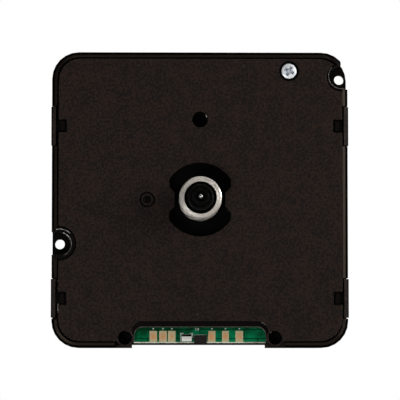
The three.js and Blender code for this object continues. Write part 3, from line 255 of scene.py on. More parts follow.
# How much the finer pattern counts in a sum of two
MOTTLE_SHARE = 3.8
STREAK_SHARE = 0.35
WEAR_SHARE = 0.5

# Rings of the lathe: how far noise bends them, how fine that noise is, and its size
RING_BEND = 2.6
RING_DETAIL = 2.0
RING_BEND_SCALE = 0.35

# Copper areas under the board's mask, as bricks with gaps, and the slopes of the mask's painted shade from
# the ledge, darker towards the left and the top
TRACK_GAP = 0.06
TRACK_BLUR = 0.4
TRACK_LENGTH = 2.6
TRACK_HEIGHT = 1.1
TRACK_OFFSET = 0.37
LEDGE_SHADE_ALONG = 11.0
LEDGE_SHADE_UP = -90.0

# Heights of the relief and its strengths, and the directions in which marks run long
GRAIN_HEIGHT = 0.00002
MARK_HEIGHT = 0.000004
GROOVE_HEIGHT = 0.000020
USUAL_STRENGTH = 0.5
MASK_STRENGTH = 0.4
NO_STRETCH = (1.0, 1.0, 1.0)
ALONG_DEPTH = (1.0, 0.12, 1.0)
ALONG_WIDTH = (0.1, 1.0, 1.0)
NO_SHIFT = (0.0, 0.0, 0.0)

# Colours
DUST_COLOUR = (0.10, 0.09, 0.08)
# The mask's two tones: random patches and the painted shade from the ledge both run between them
MASK_DARK_AND_SHADED = (0.0003, 0.062, 0.020)
MASK_LIGHT_AND_LIT = (0.0005, 0.220, 0.084)
MASK_GAP = (0.0002, 0.018, 0.007)
PAD_EDGE_COLOUR = (0.56, 0.47, 0.275)
PAD_MIDDLE_COLOUR = (0.65, 0.32, 0.125)
FLOOR_COLOUR = (0.82, 0.82, 0.82)
ROOM_COLOUR = (1.0, 0.97, 0.94)
LAMP_COLOUR = (1.0, 0.97, 0.93)
WHITE = (1.0, 1.0, 1.0)
RIM_TINT = (1.0, 0.80, 0.62, 1.0)

# Stage, and its soft lights: where each panel stands, its width, how bright it is and its colour
FLOOR_HALF = 1.6
ROOM_GLOW = 0.07
BACKDROP_GLOW = 1.0
PANELS = {
    "front_panel": ((0.03, -0.62, 0.075), 0.17, 0.8, LAMP_COLOUR),
    "right_panel": ((0.46, -0.26, 0.16), 0.30, 6.6, WHITE),
    "top_panel": ((-0.05, -0.12, 0.62), 0.42, 0.8, WHITE),
    "back_panel": ((-0.30, 0.55, 0.34), 0.36, 5.0, WHITE),
    "left_panel": ((-0.55, 0.12, 0.20), 0.26, 1.2, WHITE),
    "low_left_panel": ((-0.22, -0.50, -0.19), 0.12, 17.0, WHITE),
    "high_right_panel": ((0.26, -0.36, 0.40), 0.08, 8.0, WHITE),
}
MIDDLE = (cad_low + cad_high) / 2


# Meshes

def link(name, mesh):
    piece = bpy.data.objects.new(name, mesh)
    bpy.context.scene.collection.objects.link(piece)
    return piece


def grid_piece(name, points, closed_rows=False):
    """A closed-round piece over a grid of points, rows by columns by 3. Each cell between
    neighbouring rows and columns is one quad, and the last column joins the first. Points that
    coincide, as at a pole, are merged, and the faces are turned to point out."""
    rows, columns = points.shape[:2]
    row = np.arange(rows if closed_rows else rows - 1)
    i, j = (a.ravel() for a in np.meshgrid(row, np.arange(columns), indexing="ij"))
    below, beside = (i + 1) % rows, (j + 1) % columns
    corners = np.stack([i * columns + j, i * columns + beside,
                        below * columns + beside, below * columns + j], axis=1)
    mesh = bpy.data.meshes.new(name)
    mesh.vertices.add(rows * columns)
    mesh.vertices.foreach_set("co", points.reshape(-1))
    mesh.loops.add(corners.size)
    mesh.loops.foreach_set("vertex_index", corners.reshape(-1))
    mesh.polygons.add(len(corners))
    mesh.polygons.foreach_set("loop_start", np.arange(len(corners)) * corners.shape[1])
    mesh.polygons.foreach_set("use_smooth", np.ones(len(corners), bool))
    mesh.update(calc_edges=True)
    shape = bmesh.new()
    shape.from_mesh(mesh)
    bmesh.ops.remove_doubles(shape, verts=shape.verts, dist=MERGE_DISTANCE)
    bmesh.ops.recalc_face_normals(shape, faces=shape.faces)
    shape.to_mesh(mesh)
    shape.free()
    mesh.set_sharp_from_angle(angle=SHARP_ANGLE)
    return link(name, mesh)


def revolved(x, z, profile, columns):
    """Rows of points: each radius and depth of a profile is swept round the line along Y through
    x and z, so that a point is x + r cos t, depth, z + r sin t."""
    turn = np.linspace(0, 2 * np.pi, columns, endpoint=False)[None, :]
    radii = profile[:, :1] * np.ones_like(turn)
    return np.stack([x + radii * np.cos(turn), profile[:, 1:] * np.ones_like(turn),
                     z + radii * np.sin(turn)], axis=2)


def whole_faced(node, edge, moved=None):
    """A copy of a CAD piece's mesh, its doubles merged and its flat triangles joined into whole faces.
    Each edge sharper than the limit weighs what it may be rolled by: the given width, or a share of
    the shortest edge that crosses it. An edge with no room stays sharp. Where a function is given, it
    moves each point first."""
    mesh = frame["nodes"][node].data.copy()
    shape = bmesh.new()
    shape.from_mesh(mesh)
    bmesh.ops.remove_doubles(shape, verts=shape.verts, dist=MERGE_DISTANCE)
    if moved:
        for vertex in shape.verts:
            vertex.co += moved(vertex.co)
    bmesh.ops.dissolve_limit(shape, angle_limit=FLAT_ANGLE, verts=shape.verts, edges=shape.edges)
    weight = shape.edges.layers.float.new("bevel_weight_edge")
    for face in shape.faces:
        face.smooth = True
    for rim in shape.edges:
        if rim.calc_face_angle(0.0) > SHARP_ANGLE:
            roll = min(edge, EDGE_ROOM_SHARE * crossing_length(rim))
            rim.smooth = roll > LEAST_EDGE
            rim[weight] = roll / edge if rim.smooth else 0.0
    shape.to_mesh(mesh)
    shape.free()
    return mesh


def crossing_length(rim):
    """The length of the shortest edge that meets an edge at an angle."""
    along = (rim.verts[1].co - rim.verts[0].co).normalized()
    lengths = []
    for vertex in rim.verts:
        for other in vertex.link_edges:
            way = other.verts[1].co - other.verts[0].co
            if other != rim and abs(way.normalized().dot(along)) < IN_LINE_COSINE:
                lengths.append(way.length)
    return min(lengths, default=math.inf)


def softened(node, name, edge, steps=2, moved=None):
    """A copy of a CAD piece with its sharp edges rolled over in a few steps."""
    piece = link(name, whole_faced(node, edge, moved))
    bevel = piece.modifiers.new("rolled_edges", "BEVEL")
    bevel.width = edge
    bevel.segments = steps
    bevel.limit_method = "WEIGHT"
    bevel.use_clamp_overlap = True
    flat = piece.modifiers.new("flat_faces", "WEIGHTED_NORMAL")
    flat.mode = "FACE_AREA"
    flat.weight = FLAT_WEIGHT
    flat.keep_sharp = True
    return piece


def dress(piece, finish, body, slot, *nodes):
    """Gives a new piece its finish and its body, and hides the CAD nodes that it stands for. The slot is not
    used.
    """
    piece.data.materials.clear()
    piece.data.materials.append(finish)
    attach(piece, body)
    if nodes:
        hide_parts(*nodes)
    return piece


def rounded(node, name, edge, finish, body, slot, **how):
    """A softened copy of a CAD piece, dressed, which stands for that piece."""
    return dress(softened(node, name, edge, **how), finish, body, slot, node)


def finish_where(piece, finish, test):
    """Gives one more finish to the faces that pass the test."""
    piece.data.materials.append(finish)
    for face in piece.data.polygons:
        if test(face):
            face.material_index = len(piece.data.materials) - 1


def polish_edges(piece, finish):
    """Gives the rolled edges a finish of their own, because handling polishes them first."""
    piece.data.materials.append(finish)
    piece.modifiers["rolled_edges"].material = len(piece.data.materials) - 1


def prisms(name, outlines, front, back):
    """Flat pieces of one mesh: each outline of x and z is carried along y from front to back."""
    shape = bmesh.new()
    for outline in outlines:
        near = [shape.verts.new((x, front, z)) for x, z in outline]
        far = [shape.verts.new((x, back, z)) for x, z in outline]
        shape.faces.new(near)
        shape.faces.new(far[::-1])
        for k in range(len(outline)):
            after = (k + 1) % len(outline)
            shape.faces.new((near[after], near[k], far[k], far[after]))
    bmesh.ops.recalc_face_normals(shape, faces=shape.faces)
    mesh = bpy.data.meshes.new(name)
    shape.to_mesh(mesh)
    shape.free()
    return link(name, mesh)


def arc(x, z, radius, start, end):
    """Points of x and z on a round stretch, from one angle to another."""
    turn = np.linspace(start, end, ARC_STEPS)
    return np.stack([x + radius * np.cos(turn), z + radius * np.sin(turn)], axis=1)


def bead(name, path, depth):
    """A thin round bead along a path of x and z: rows follow the path, and columns run round a
    circle square to it. Its two ends close in a point."""
    along = np.gradient(path, axis=0)
    along /= np.linalg.norm(along, axis=1)[:, None]
    middle = np.insert(path, 1, depth, axis=1)[:, None, :]
    side = np.insert(along[:, ::-1] * (1, -1), 1, 0.0, axis=1)[:, None, :]
    turn = np.linspace(0, 2 * np.pi, BEAD_SIDES, endpoint=False)[None, :, None]
    ring = middle + BEAD_RADIUS * (np.cos(turn) * side + np.sin(turn) * np.array((0.0, 1.0, 0.0)))
    ends = [np.repeat(middle[[k]], BEAD_SIDES, axis=1) for k in (0, -1)]
    return grid_piece(name, np.concatenate([ends[0], ring, ends[1]]))


def ring_outline(x, z, radius, sides):
    """Corners of x and z, evenly round a circle."""
    turn = 2 * np.pi * np.arange(sides) / sides
    return list(zip(x + radius * np.cos(turn), z + radius * np.sin(turn)))


def bar_outline(left, right, bottom, top):
    """Corners of x and z of an upright rectangle."""
    return [(left, bottom), (right, bottom), (right, top), (left, top)]


# Node groups and materials

# The Mix node's sockets for its share, its two colours and their mixture
MIX_COLOUR_INPUTS = (0, 6, 7)
MIX_COLOUR_OUTPUT = 2


def add(tree, kind, **values):
    node = tree.nodes.new(kind)
    for key, value in values.items():
        setattr(node, key, value)
    return node


def feed(tree, source, socket):
    """Links a socket, or sets it where the source is a plain number or colour."""
    if isinstance(source, (int, float)):
        socket.default_value = source
    elif isinstance(source, tuple):
        socket.default_value = (*source, 1.0)
    else:
        tree.links.new(source, socket)


def noise(tree, place, scale, detail, rough):
    """A value of cloudy noise at a place."""
    node = add(tree, "ShaderNodeTexNoise")
    for label, value in (("Vector", place), ("Scale", scale), ("Detail", detail), ("Roughness", rough)):
        feed(tree, value, node.inputs[label])
    return node.outputs["Fac"]


def between(tree, value, span, low=0.0, high=1.0):
    """Goes from low to high while a value goes through its span."""
    node = add(tree, "ShaderNodeMapRange")
    for label, number in (("Value", value), ("From Min", span[0]), ("From Max", span[1]), ("To Min", low),
                          ("To Max", high)):
        feed(tree, number, node.inputs[label])
    return node.outputs["Result"]


def mixed(tree, share, first, second):
    """A colour between two, by a share; each may be a socket or a plain colour."""
    node = add(tree, "ShaderNodeMix", data_type="RGBA")
    for index, value in zip(MIX_COLOUR_INPUTS, (share, first, second)):
        feed(tree, value, node.inputs[index])
    return node.outputs[MIX_COLOUR_OUTPUT]


def total(tree, first, share, second):
    """First times a share, plus second."""
    node = add(tree, "ShaderNodeMath", operation="MULTIPLY_ADD")
    for socket, value in zip(node.inputs, (first, share, second)):
        feed(tree, value, socket)
    return node.outputs[0]


def group_tree(name, inputs):
    """A node group with a place and the given inputs; it puts out a colour, a roughness and a
    height."""
    tree = bpy.data.node_groups.new(name, "ShaderNodeTree")
    tree.interface.new_socket("Place", in_out="INPUT", socket_type="NodeSocketVector")
    for label, value in inputs.items():
        kind = "NodeSocketFloat" if isinstance(value, float) else "NodeSocketColor"
        tree.interface.new_socket(label, in_out="INPUT", socket_type=kind)
    for label, kind in (("Colour", "NodeSocketColor"), ("Roughness", "NodeSocketFloat"),
                        ("Height", "NodeSocketFloat")):
        tree.interface.new_socket(label, in_out="OUTPUT", socket_type=kind)
    return tree, tree.nodes.new("NodeGroupInput").outputs, tree.nodes.new("NodeGroupOutput").inputs


# Inputs of the groups, with the values that hold where a finish gives none
MOULDED_INPUTS = {"Dark": WHITE, "Light": WHITE, "Grain": GRAIN_SCALE, "Dust": DUST_LIMIT, "Smooth": SATIN,
                  "Rough": SATIN}
METAL_INPUTS = {"Dark": WHITE, "Light": WHITE, "Marks": METAL_MARK_SCALE, "Smooth": SATIN, "Rough": SATIN}


def moulded_surface():
    """Spark-eroded moulding: a fine grain that stands up from the surface, cloudy patches of two
    near colours, and a rare pale speck of dust."""
    tree, given, out = group_tree("moulded_surface", MOULDED_INPUTS)
    grain = noise(tree, given["Place"], given["Grain"], **GRAIN_NOISE)
    patch = noise(tree, given["Place"], PATCH_SCALE, **PATCH_NOISE)
    mottle = noise(tree, given["Place"], MOTTLE_SCALE, **MOTTLE_NOISE)
    clouds = total(tree, mottle, MOTTLE_SHARE, patch)
    tone = mixed(tree, between(tree, clouds, CLOUD_SPAN), given["Dark"], given["Light"])
    speck = between(tree, noise(tree, given["Place"], DUST_SCALE, **DUST_NOISE), (given["Dust"], 1.0))
    feed(tree, mixed(tree, speck, tone, DUST_COLOUR), out["Colour"])
    feed(tree, between(tree, grain, GRAIN_SPAN, given["Smooth"], given["Rough"]), out["Roughness"])
    feed(tree, grain, out["Height"])
    return tree


def worked_metal():
    """Turned, rolled or plated metal: fine marks over a slow drift between two tones, duller where
    the marks are deep."""
    tree, given, out = group_tree("worked_metal", METAL_INPUTS)
    marks = noise(tree, given["Place"], given["Marks"], **MARK_NOISE)
    drift = noise(tree, given["Place"], METAL_DRIFT_SCALE, **DRIFT_NOISE)
    feed(tree, mixed(tree, between(tree, drift, DRIFT_SPAN), given["Dark"], given["Light"]), out["Colour"])
    feed(tree, between(tree, marks, GRAIN_SPAN, given["Smooth"], given["Rough"]), out["Roughness"])
    feed(tree, marks, out["Height"])
    return tree


def turned_metal():
    """Metal turned on a lathe: rings round the Y line through the place's zero, bent a little by
    noise, with darker streaks where the plating is worn."""
    tree, given, out = group_tree("turned_metal", METAL_INPUTS)
    rings = add(tree, "ShaderNodeTexWave", wave_type="RINGS", rings_direction="Y")
    for label, value in (("Vector", given["Place"]), ("Scale", given["Marks"]), ("Distortion", RING_BEND),
                         ("Detail", RING_DETAIL), ("Detail Scale", RING_BEND_SCALE)):
        feed(tree, value, rings.inputs[label])
    drift = noise(tree, given["Place"], METAL_DRIFT_SCALE, **STREAK_NOISE)
    streaks = total(tree, rings.outputs["Fac"], STREAK_SHARE, drift)
    feed(tree, mixed(tree, between(tree, streaks, STREAK_SPAN), given["Dark"], given["Light"]), out["Colour"])
    feed(tree, between(tree, drift, DRIFT_SPAN, given["Rough"], given["Smooth"]), out["Roughness"])
    feed(tree, rings.outputs["Fac"], out["Height"])
    return tree


moulded_group = moulded_surface()
metal_group = worked_metal()
turned_group = turned_metal()


def placed(tree, stretch=NO_STRETCH, middle=NO_SHIFT):
    """Object coordinates about a middle, squeezed along the directions in which marks run long."""
    place = add(tree, "ShaderNodeTexCoord").outputs["Object"]
    mapping = add(tree, "ShaderNodeMapping")
    mapping.inputs["Location"].default_value = [-m * s for m, s in zip(middle, stretch)]
    mapping.inputs["Scale"].default_value = stretch
    feed(tree, place, mapping.inputs["Vector"])
    return mapping.outputs["Vector"]


def new_material(name, **settings):
    """A material with constants on the shader's own sockets; an underscore stands for a space."""
    material = bpy.data.materials.new(name)
    material.use_nodes = True
    shader = material.node_tree.nodes["Principled BSDF"]
    for label, value in settings.items():
        shader.inputs[label.replace("_", " ")].default_value = value
    return material, material.node_tree, shader


def raise_surface(tree, shader, height, distance, strength, invert=False):
    """Relief from a height: its distance is that of a height of one, and its strength a share."""
    bump = add(tree, "ShaderNodeBump", invert=invert)
    feed(tree, distance, bump.inputs["Distance"])
    feed(tree, strength, bump.inputs["Strength"])
    feed(tree, height, bump.inputs["Height"])
    feed(tree, bump.outputs["Normal"], shader.inputs["Normal"])


def finish_from(name, group, values, height, strength, stretch=NO_STRETCH, middle=NO_SHIFT, **settings):
    """A material whose colour, roughness and relief come from a group."""
    material, tree, shader = new_material(name, **settings)
    surface = add(tree, "ShaderNodeGroup", node_tree=group)
    feed(tree, placed(tree, stretch, middle), surface.inputs["Place"])
    for label, value in values.items():
        feed(tree, value, surface.inputs[label])
    feed(tree, surface.outputs["Colour"], shader.inputs["Base Color"])
    feed(tree, surface.outputs["Roughness"], shader.inputs["Roughness"])
    raise_surface(tree, shader, surface.outputs["Height"], height, strength)
    return material


def moulded(name, dark, light, smooth, rough, strength=USUAL_STRENGTH, **more):
    """A moulded finish between a dark and a light colour."""
    values = {**MOULDED_INPUTS, "Dark": dark, "Light": light, "Smooth": smooth, "Rough": rough}
    return finish_from(name, moulded_group, values, GRAIN_HEIGHT, strength, **more)


def metal(name, dark, light, smooth, rough, strength=USUAL_STRENGTH, **more):
    """A rolled or plated metal finish between a dark and a light colour."""
    values = {**METAL_INPUTS, "Dark": dark, "Light": light, "Smooth": smooth, "Rough": rough}
    return finish_from(name, metal_group, values, MARK_HEIGHT, strength, **{"Metallic": 1.0, **more})


def turned(name, dark, light, smooth, rough, height=MARK_HEIGHT, strength=USUAL_STRENGTH, **more):
    """A finish with the lathe's rings round the bush's axis, between a dark and a light colour."""
    values = {**METAL_INPUTS, "Dark": dark, "Light": light, "Smooth": smooth, "Rough": rough,
              "Marks": LATHE_SCALE}
    return finish_from(name, turned_group, values, height, strength, middle=bush_tip,
                       **{"Metallic": 1.0, **more})


# Black mouldings: the case, the plate, their rims, recesses and edges, and the pipes. The rims, rolled edges
# and recesses are darker copies of the black: painted shade
case_finish = moulded("case_black", dark=(0.0108, 0.0069, 0.0053), light=(0.0222, 0.0124, 0.0087),
                      smooth=0.46, rough=0.66, Specular_IOR_Level=0.18)
plate_finish = moulded("plate_black", dark=(0.0062, 0.0040, 0.0030), light=(0.0226, 0.0120, 0.0084),
                       smooth=0.50, rough=0.70, Specular_IOR_Level=0.13)
# The rim: glossier than the case, and painted darker as shade
rim_gloss_and_shade_finish = moulded("rim_glossy_painted_shade", dark=(0.0020, 0.0013, 0.0010), light=(0.0056, 0.0032, 0.0023),
                     smooth=0.34, rough=0.50, Specular_IOR_Level=0.28, Specular_Tint=RIM_TINT)
# The rolled outer edge: painted near-black shade, with no reflection
round_shade_finish = moulded("rim_round_painted_shade", dark=(0.0010, 0.0007, 0.0006), light=(0.0018, 0.0012, 0.0010),
                       smooth=0.46, rough=0.62, strength=0.3, Specular_IOR_Level=0.0)
# Recessed faces: painted shade, smoother and darker where sunk, nearly black where deep
sunk_shade_finish = moulded("sunk_painted_shade", dark=(0.0024, 0.0014, 0.0011), light=(0.0040, 0.0023, 0.0018),
                      smooth=0.36, rough=0.52, strength=0.2, Specular_IOR_Level=0.06)
deep_shade_finish = moulded("deep_painted_shade", dark=(0.0008, 0.0005, 0.0004), light=(0.0014, 0.0009, 0.0008),
                      smooth=0.42, rough=0.60, strength=0.2, Specular_IOR_Level=0.04)
edge_finish = moulded("edge_polish", dark=(0.0090, 0.0058, 0.0046), light=(0.0150, 0.0092, 0.0070),
                      smooth=0.22, rough=0.32, strength=0.1, Specular_IOR_Level=0.45)
pipe_finish = moulded("pipe_black", dark=(0.0010, 0.0009, 0.0008), light=(0.0024, 0.0020, 0.0017),
                      smooth=0.30, rough=0.42, strength=0.15, Specular_IOR_Level=0.05)

# Painted highlights on the edge beads, from the brightest to the dimmest
HIGHLIGHT_BEAD = {"smooth": 0.22, "rough": 0.34, "strength": 0.2, "Specular_IOR_Level": 0.6}
bright_highlight_finish = moulded("bright_painted_highlight", dark=(0.070, 0.066, 0.064), light=(0.48, 0.45, 0.43), **HIGHLIGHT_BEAD)
dim_highlight_finish = moulded("dim_painted_highlight", dark=(0.030, 0.027, 0.024), light=(0.12, 0.11, 0.10), **HIGHLIGHT_BEAD)
ledge_highlight_finish = moulded("ledge_painted_highlight", dark=(0.034, 0.030, 0.027), light=(0.085, 0.076, 0.068), **HIGHLIGHT_BEAD)

# Bush: its plated thread; its face, a brighter, half diffuse copy of the nickel that paints light on it, with
# deeper lathe rings; and its bore, a near-black copy, painted shade
bush_finish = turned("plated_nickel", dark=(0.52, 0.48, 0.43), light=(0.80, 0.75, 0.69),
                     smooth=0.22, rough=0.38)
faced_lit_finish = turned("faced_nickel_painted_light", dark=(0.62, 0.56, 0.50), light=(1.0, 0.95, 0.88),
                      smooth=0.24, rough=0.40, height=GROOVE_HEIGHT, strength=1.0, Metallic=0.5)
bore_shade_finish = turned("bore_painted_shade", dark=(0.012, 0.009, 0.007), light=(0.030, 0.022, 0.017),
                     smooth=0.45, rough=0.65)

# Other metals: the screw and its recess, whose darker zinc is painted shade, the pin, the contacts and the
# motor
screw_finish = metal("bright_zinc", dark=(0.76, 0.80, 0.86), light=(0.97, 0.98, 1.0),
                     smooth=0.30, rough=0.48, Metallic=0.35)
recess_shade_finish = metal("zinc_recess_painted_shade", dark=(0.32, 0.36, 0.40), light=(0.52, 0.57, 0.61),
                      smooth=0.30, rough=0.48, Metallic=0.45)
zinc_finish = metal("zinc_plate", dark=(0.30, 0.34, 0.38), light=(0.80, 0.84, 0.88),
                    smooth=0.26, rough=0.50)
arbor_finish = metal("polished_steel", dark=(0.48, 0.48, 0.47), light=(0.58, 0.58, 0.57),
                     smooth=0.24, rough=0.32, strength=0.1)
strip_finish = metal("contact_strip", dark=(0.62, 0.59, 0.54), light=(0.76, 0.73, 0.68),
                     smooth=0.24, rough=0.34, strength=0.1, stretch=ALONG_DEPTH)
iron_finish = metal("motor_sheet", dark=(0.34, 0.33, 0.32), light=(0.46, 0.45, 0.44),
                    smooth=0.36, rough=0.52, stretch=ALONG_WIDTH)
ferrite_finish = metal("sintered_ferrite", dark=(0.05, 0.05, 0.05), light=(0.09, 0.09, 0.088),
                       smooth=0.5, rough=0.7, Metallic=0.3)
wire_finish = metal("enamelled_wire", dark=(0.36, 0.13, 0.05), light=(0.56, 0.24, 0.10),
                    smooth=0.26, rough=0.40)

# White wheels, and what is on the board
acetal_finish = moulded("acetal_white", dark=(0.70, 0.68, 0.62), light=(0.80, 0.78, 0.73),
                        smooth=0.40, rough=0.52, strength=0.15)
tin_finish = metal("tinned_cap", dark=(0.58, 0.58, 0.53), light=(0.92, 0.92, 0.87),
                   smooth=0.28, rough=0.44, Metallic=0.4)
epoxy_finish = moulded("black_epoxy", dark=(0.0070, 0.0050, 0.0044), light=(0.0133, 0.0091, 0.0084),
                       smooth=0.34, rough=0.50, strength=0.2, Specular_IOR_Level=0.2)
silk_finish = moulded("silk_white", dark=(0.52, 0.58, 0.54), light=(0.76, 0.82, 0.78),
                      smooth=0.5, rough=0.6, strength=0.1)
score_finish = moulded("bare_laminate", dark=(0.50, 0.52, 0.42), light=(0.78, 0.80, 0.66),
                       smooth=0.5, rough=0.7)


def board_mask():
    """Green solder mask: lighter over copper areas laid out in steps, darker in the gaps, with painted shade
    from the ledge that darkens it towards the left and the top.
    """
    material, tree, shader = new_material("solder_mask", Roughness=0.38, Specular_IOR_Level=0.04)
    place = placed(tree)
    apart = add(tree, "ShaderNodeSeparateXYZ")
    feed(tree, place, apart.inputs[0])
    flat = add(tree, "ShaderNodeCombineXYZ")
    feed(tree, apart.outputs["X"], flat.inputs["X"])
    feed(tree, apart.outputs["Z"], flat.inputs["Y"])
    tracks = add(tree, "ShaderNodeTexBrick", offset=TRACK_OFFSET)
    for label, value in (("Vector", flat.outputs[0]), ("Scale", TRACK_SCALE), ("Mortar Size", TRACK_GAP),
                         ("Mortar Smooth", TRACK_BLUR), ("Brick Width", TRACK_LENGTH),
                         ("Row Height", TRACK_HEIGHT)):
        feed(tree, value, tracks.inputs[label])
    patch = noise(tree, place, TRACK_SCALE, **TRACK_NOISE)
    # Painted shade from the ledge: the mask darkens towards the left and the top, mixed with random patches
    shade_and_patch = total(tree, apart.outputs["X"], LEDGE_SHADE_ALONG, total(tree, apart.outputs["Z"], LEDGE_SHADE_UP, patch))
    tone = mixed(tree, between(tree, shade_and_patch, SHADE_AND_PATCH_SPAN), MASK_DARK_AND_SHADED, MASK_LIGHT_AND_LIT)
    feed(tree, mixed(tree, tracks.outputs["Fac"], tone, MASK_GAP), shader.inputs["Base Color"])
    raise_surface(tree, shader, tracks.outputs["Fac"], BOARD_SKIN, MASK_STRENGTH, invert=True)
    return material


def pad_gold():
    """Worn plating on copper: pale tan near a pad's rim and redder in its middle. The UV map gives
    each pad's own place from -1 to 1, so its distance from the middle sets the colour."""
    material, tree, shader = new_material("worn_pad", Metallic=0.35)
    own = add(tree, "ShaderNodeUVMap", uv_map="own_place").outputs[0]
    length = add(tree, "ShaderNodeVectorMath", operation="LENGTH")
    feed(tree, own, length.inputs[0])
    wear = noise(tree, placed(tree), MOTTLE_SCALE, **WEAR_NOISE)
    worn = between(tree, total(tree, wear, WEAR_SHARE, length.outputs["Value"]), PAD_SPAN)
    feed(tree, mixed(tree, worn, PAD_MIDDLE_COLOUR, PAD_EDGE_COLOUR), shader.inputs["Base Color"])
    feed(tree, between(tree, wear, GRAIN_SPAN, *PAD_ROUGHNESS), shader.inputs["Roughness"])
    return material


mask_finish = board_mask()
pad_finish = pad_gold()


# Case, plate and shafts

def inset(at):
    """How far a place lies inside the case's outline, a rectangle with round corners: the corner's
    radius less the distance from the nearest corner's centre."""
    middle, half = (case_low + case_high) / 2, (case_high - case_low) / 2
    beyond = Vector((max(abs(at.x - middle.x) - half.x + CASE_CORNER, 0.0),
                     max(abs(at.z - middle.z) - half.z + CASE_CORNER, 0.0)))
    return CASE_CORNER - beyond.length


def leaned(at):
    """How the case's front leans back at a place: not at all at the rim's inner edge, evenly more
    up to RIM_FLAT from the outline, and as much from there on."""
    outer = (RIM_WIDTH - inset(at)) / (RIM_WIDTH - RIM_FLAT)
    depth = RIM_LEAN * min(max(outer, 0.0), 1.0) if at.y < dial_face + RIM_DEPTH else 0.0
    return Vector((0.0, depth, 0.0))


def shifted(at):
    """How the plate moves to the right at a place: by a power of its nearness to the right edge."""
    near = max(at.x - plate_high.x + SHIFT_REACH, 0.0) / SHIFT_REACH
    return Vector((PLATE_SHIFT * near ** SHIFT_POWER, 0.0, 0.0))


def in_lug(face):
    """Whether a face is one of a lug's, between the plate's front and the lug's floor."""
    near = min((face.center.xz - lug.xz).length for lug in lugs)
    return near < LUG_REACH and dial_face + SUNK_DEPTH < face.center.y < lugs[0].y + SUNK_DEPTH


def on_front(face, least, most):
    """Whether a face is on the case's front, at a distance from the outline between two values."""
    return face.center.y < dial_face + RIM_DEPTH and least < inset(face.center) < most


def case_shell():
    """The case, whose rim is glossy and painted darker, and whose rolled outer edge, lugs and inner sides are
    painted nearly black: painted shade.
    """
    case = rounded("rear_case", "case_shell", CASE_EDGE, case_finish, "root", "case_plastic", moved=leaned)
    finish_where(case, rim_gloss_and_shade_finish, lambda face: on_front(face, RIM_FLAT, RIM_WIDTH))
    finish_where(case, round_shade_finish, lambda face: on_front(face, -RIM_WIDTH, RIM_FLAT)
                 and face.normal.y > ROUNDED)
    finish_where(case, sunk_shade_finish, lambda face: in_lug(face) or (
        inset(face.center) > RIM_WIDTH and case_low.y + SUNK_DEPTH < face.center.y < dial_face + RIM_DEPTH))
    finish_where(case, deep_shade_finish, lambda face: inset(face.center) > RIM_WIDTH / 2
                 and dial_face + HOOK_DEPTH < face.center.y < dial_face + RIM_DEPTH)
    polish_edges(case, edge_finish)


def dial_plate():
    """The plate, whose recesses are painted darker the deeper they lie: painted shade."""
    plate = rounded("front_plate", "dial_plate", PLATE_EDGE, plate_finish, "root", "case_plastic",
                    moved=shifted)
    finish_where(plate, sunk_shade_finish, lambda face: face.center.y > dial_face + SUNK_DEPTH)
    finish_where(plate, deep_shade_finish, lambda face: face.center.y > dial_face + DEEP_DEPTH)
    polish_edges(plate, edge_finish)


def fluted_knob():
    rounded("setting_knob", "fluted_knob", KNOB_EDGE, case_finish, "setting", "case_plastic")


def on_case(piece, finish):
    """Dresses a piece that is part of the case or its plate."""
    return dress(piece, finish, "root", "case_plastic")


def lug_lips():
    """A rounded lip on the left lug, in the sunk painted shade, and light beads on the edges of both lugs,
    which are painted highlights.
    """
    near = dial_face + LIP_SETBACK
    inner, outer, start, end = LEFT_LIP
    lip = np.concatenate([arc(*LEFT_LUG, outer, start, end), arc(*LEFT_LUG, inner, start, end)[::-1]])
    on_case(prisms("left_lug_lip", [lip.tolist()], near, near + LIP_HEIGHT), sunk_shade_finish)
    for k, stretch in enumerate(LEFT_BRIGHT_HIGHLIGHTS):
        on_case(bead(f"left_lug_bead_{k}", arc(*LEFT_EDGE, *stretch), near), bright_highlight_finish)
    on_case(bead("left_lug_dim_highlight_bead", arc(*LEFT_EDGE, *LEFT_DIM_HIGHLIGHT), near), dim_highlight_finish)
    on_case(bead("right_lug_bead", arc(*RIGHT_DIM_HIGHLIGHT), near), dim_highlight_finish)


def plate_beads():
    """Light beads, painted highlights, on the edges of the locating hole, of the window's upper right corner
    and of the ledge behind the window, which runs up, round, across, round and down."""
    on_case(bead("locating_hole_glint", arc(*HOLE_GLINT), dial_face + LIP_SETBACK), bright_highlight_finish)
    reach, top = TONGUE_HALF - LEDGE_CORNER, cad_low.z + LEDGE_TOP - LEDGE_CORNER
    on_case(bead("window_bead", arc(reach, top, *WINDOW_HIGHLIGHT), dial_face + BEAD_RADIUS), dim_highlight_finish)
    foot = cad_low.z + LEDGE_FOOT
    ledge = np.concatenate([
        [(-TONGUE_HALF, foot)], arc(-reach, top, LEDGE_CORNER, np.pi, np.pi / 2),
        arc(reach, top, LEDGE_CORNER, np.pi / 2, 0), [(TONGUE_HALF, foot)],
    ])
    on_case(bead("ledge_bead", ledge, dial_face + LEDGE_DEPTH), ledge_highlight_finish)


def countersink_painted_shade():
    """A thin dark ring round the intermediate wheel's front pivot: painted shade of the bearing's
    countersink.
    """
    low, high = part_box("setting_knob")
    x, z = (low.x + high.x) / 2, (low.z + high.z) / 2
    inner, outer = SINK_SHADE_RADII
    ring = np.concatenate([arc(x, z, outer, 0, 2 * np.pi), arc(x, z, inner, 0, 2 * np.pi)[::-1]])
    on_case(prisms("countersink_painted_shade", [ring.tolist()], dial_face - SINK_SHADE_RISE, dial_face), deep_shade_finish)


def pipes():
    hour = rounded("hour_wheel", "hour_pipe", PIPE_EDGE, pipe_finish, "hour", "shaft_plastic")
    minute = rounded("minute_pipe", "minute_shaft", PIPE_EDGE, pipe_finish, "minute", "shaft_plastic")
    for pipe in (hour, minute):
        polish_edges(pipe, edge_finish)


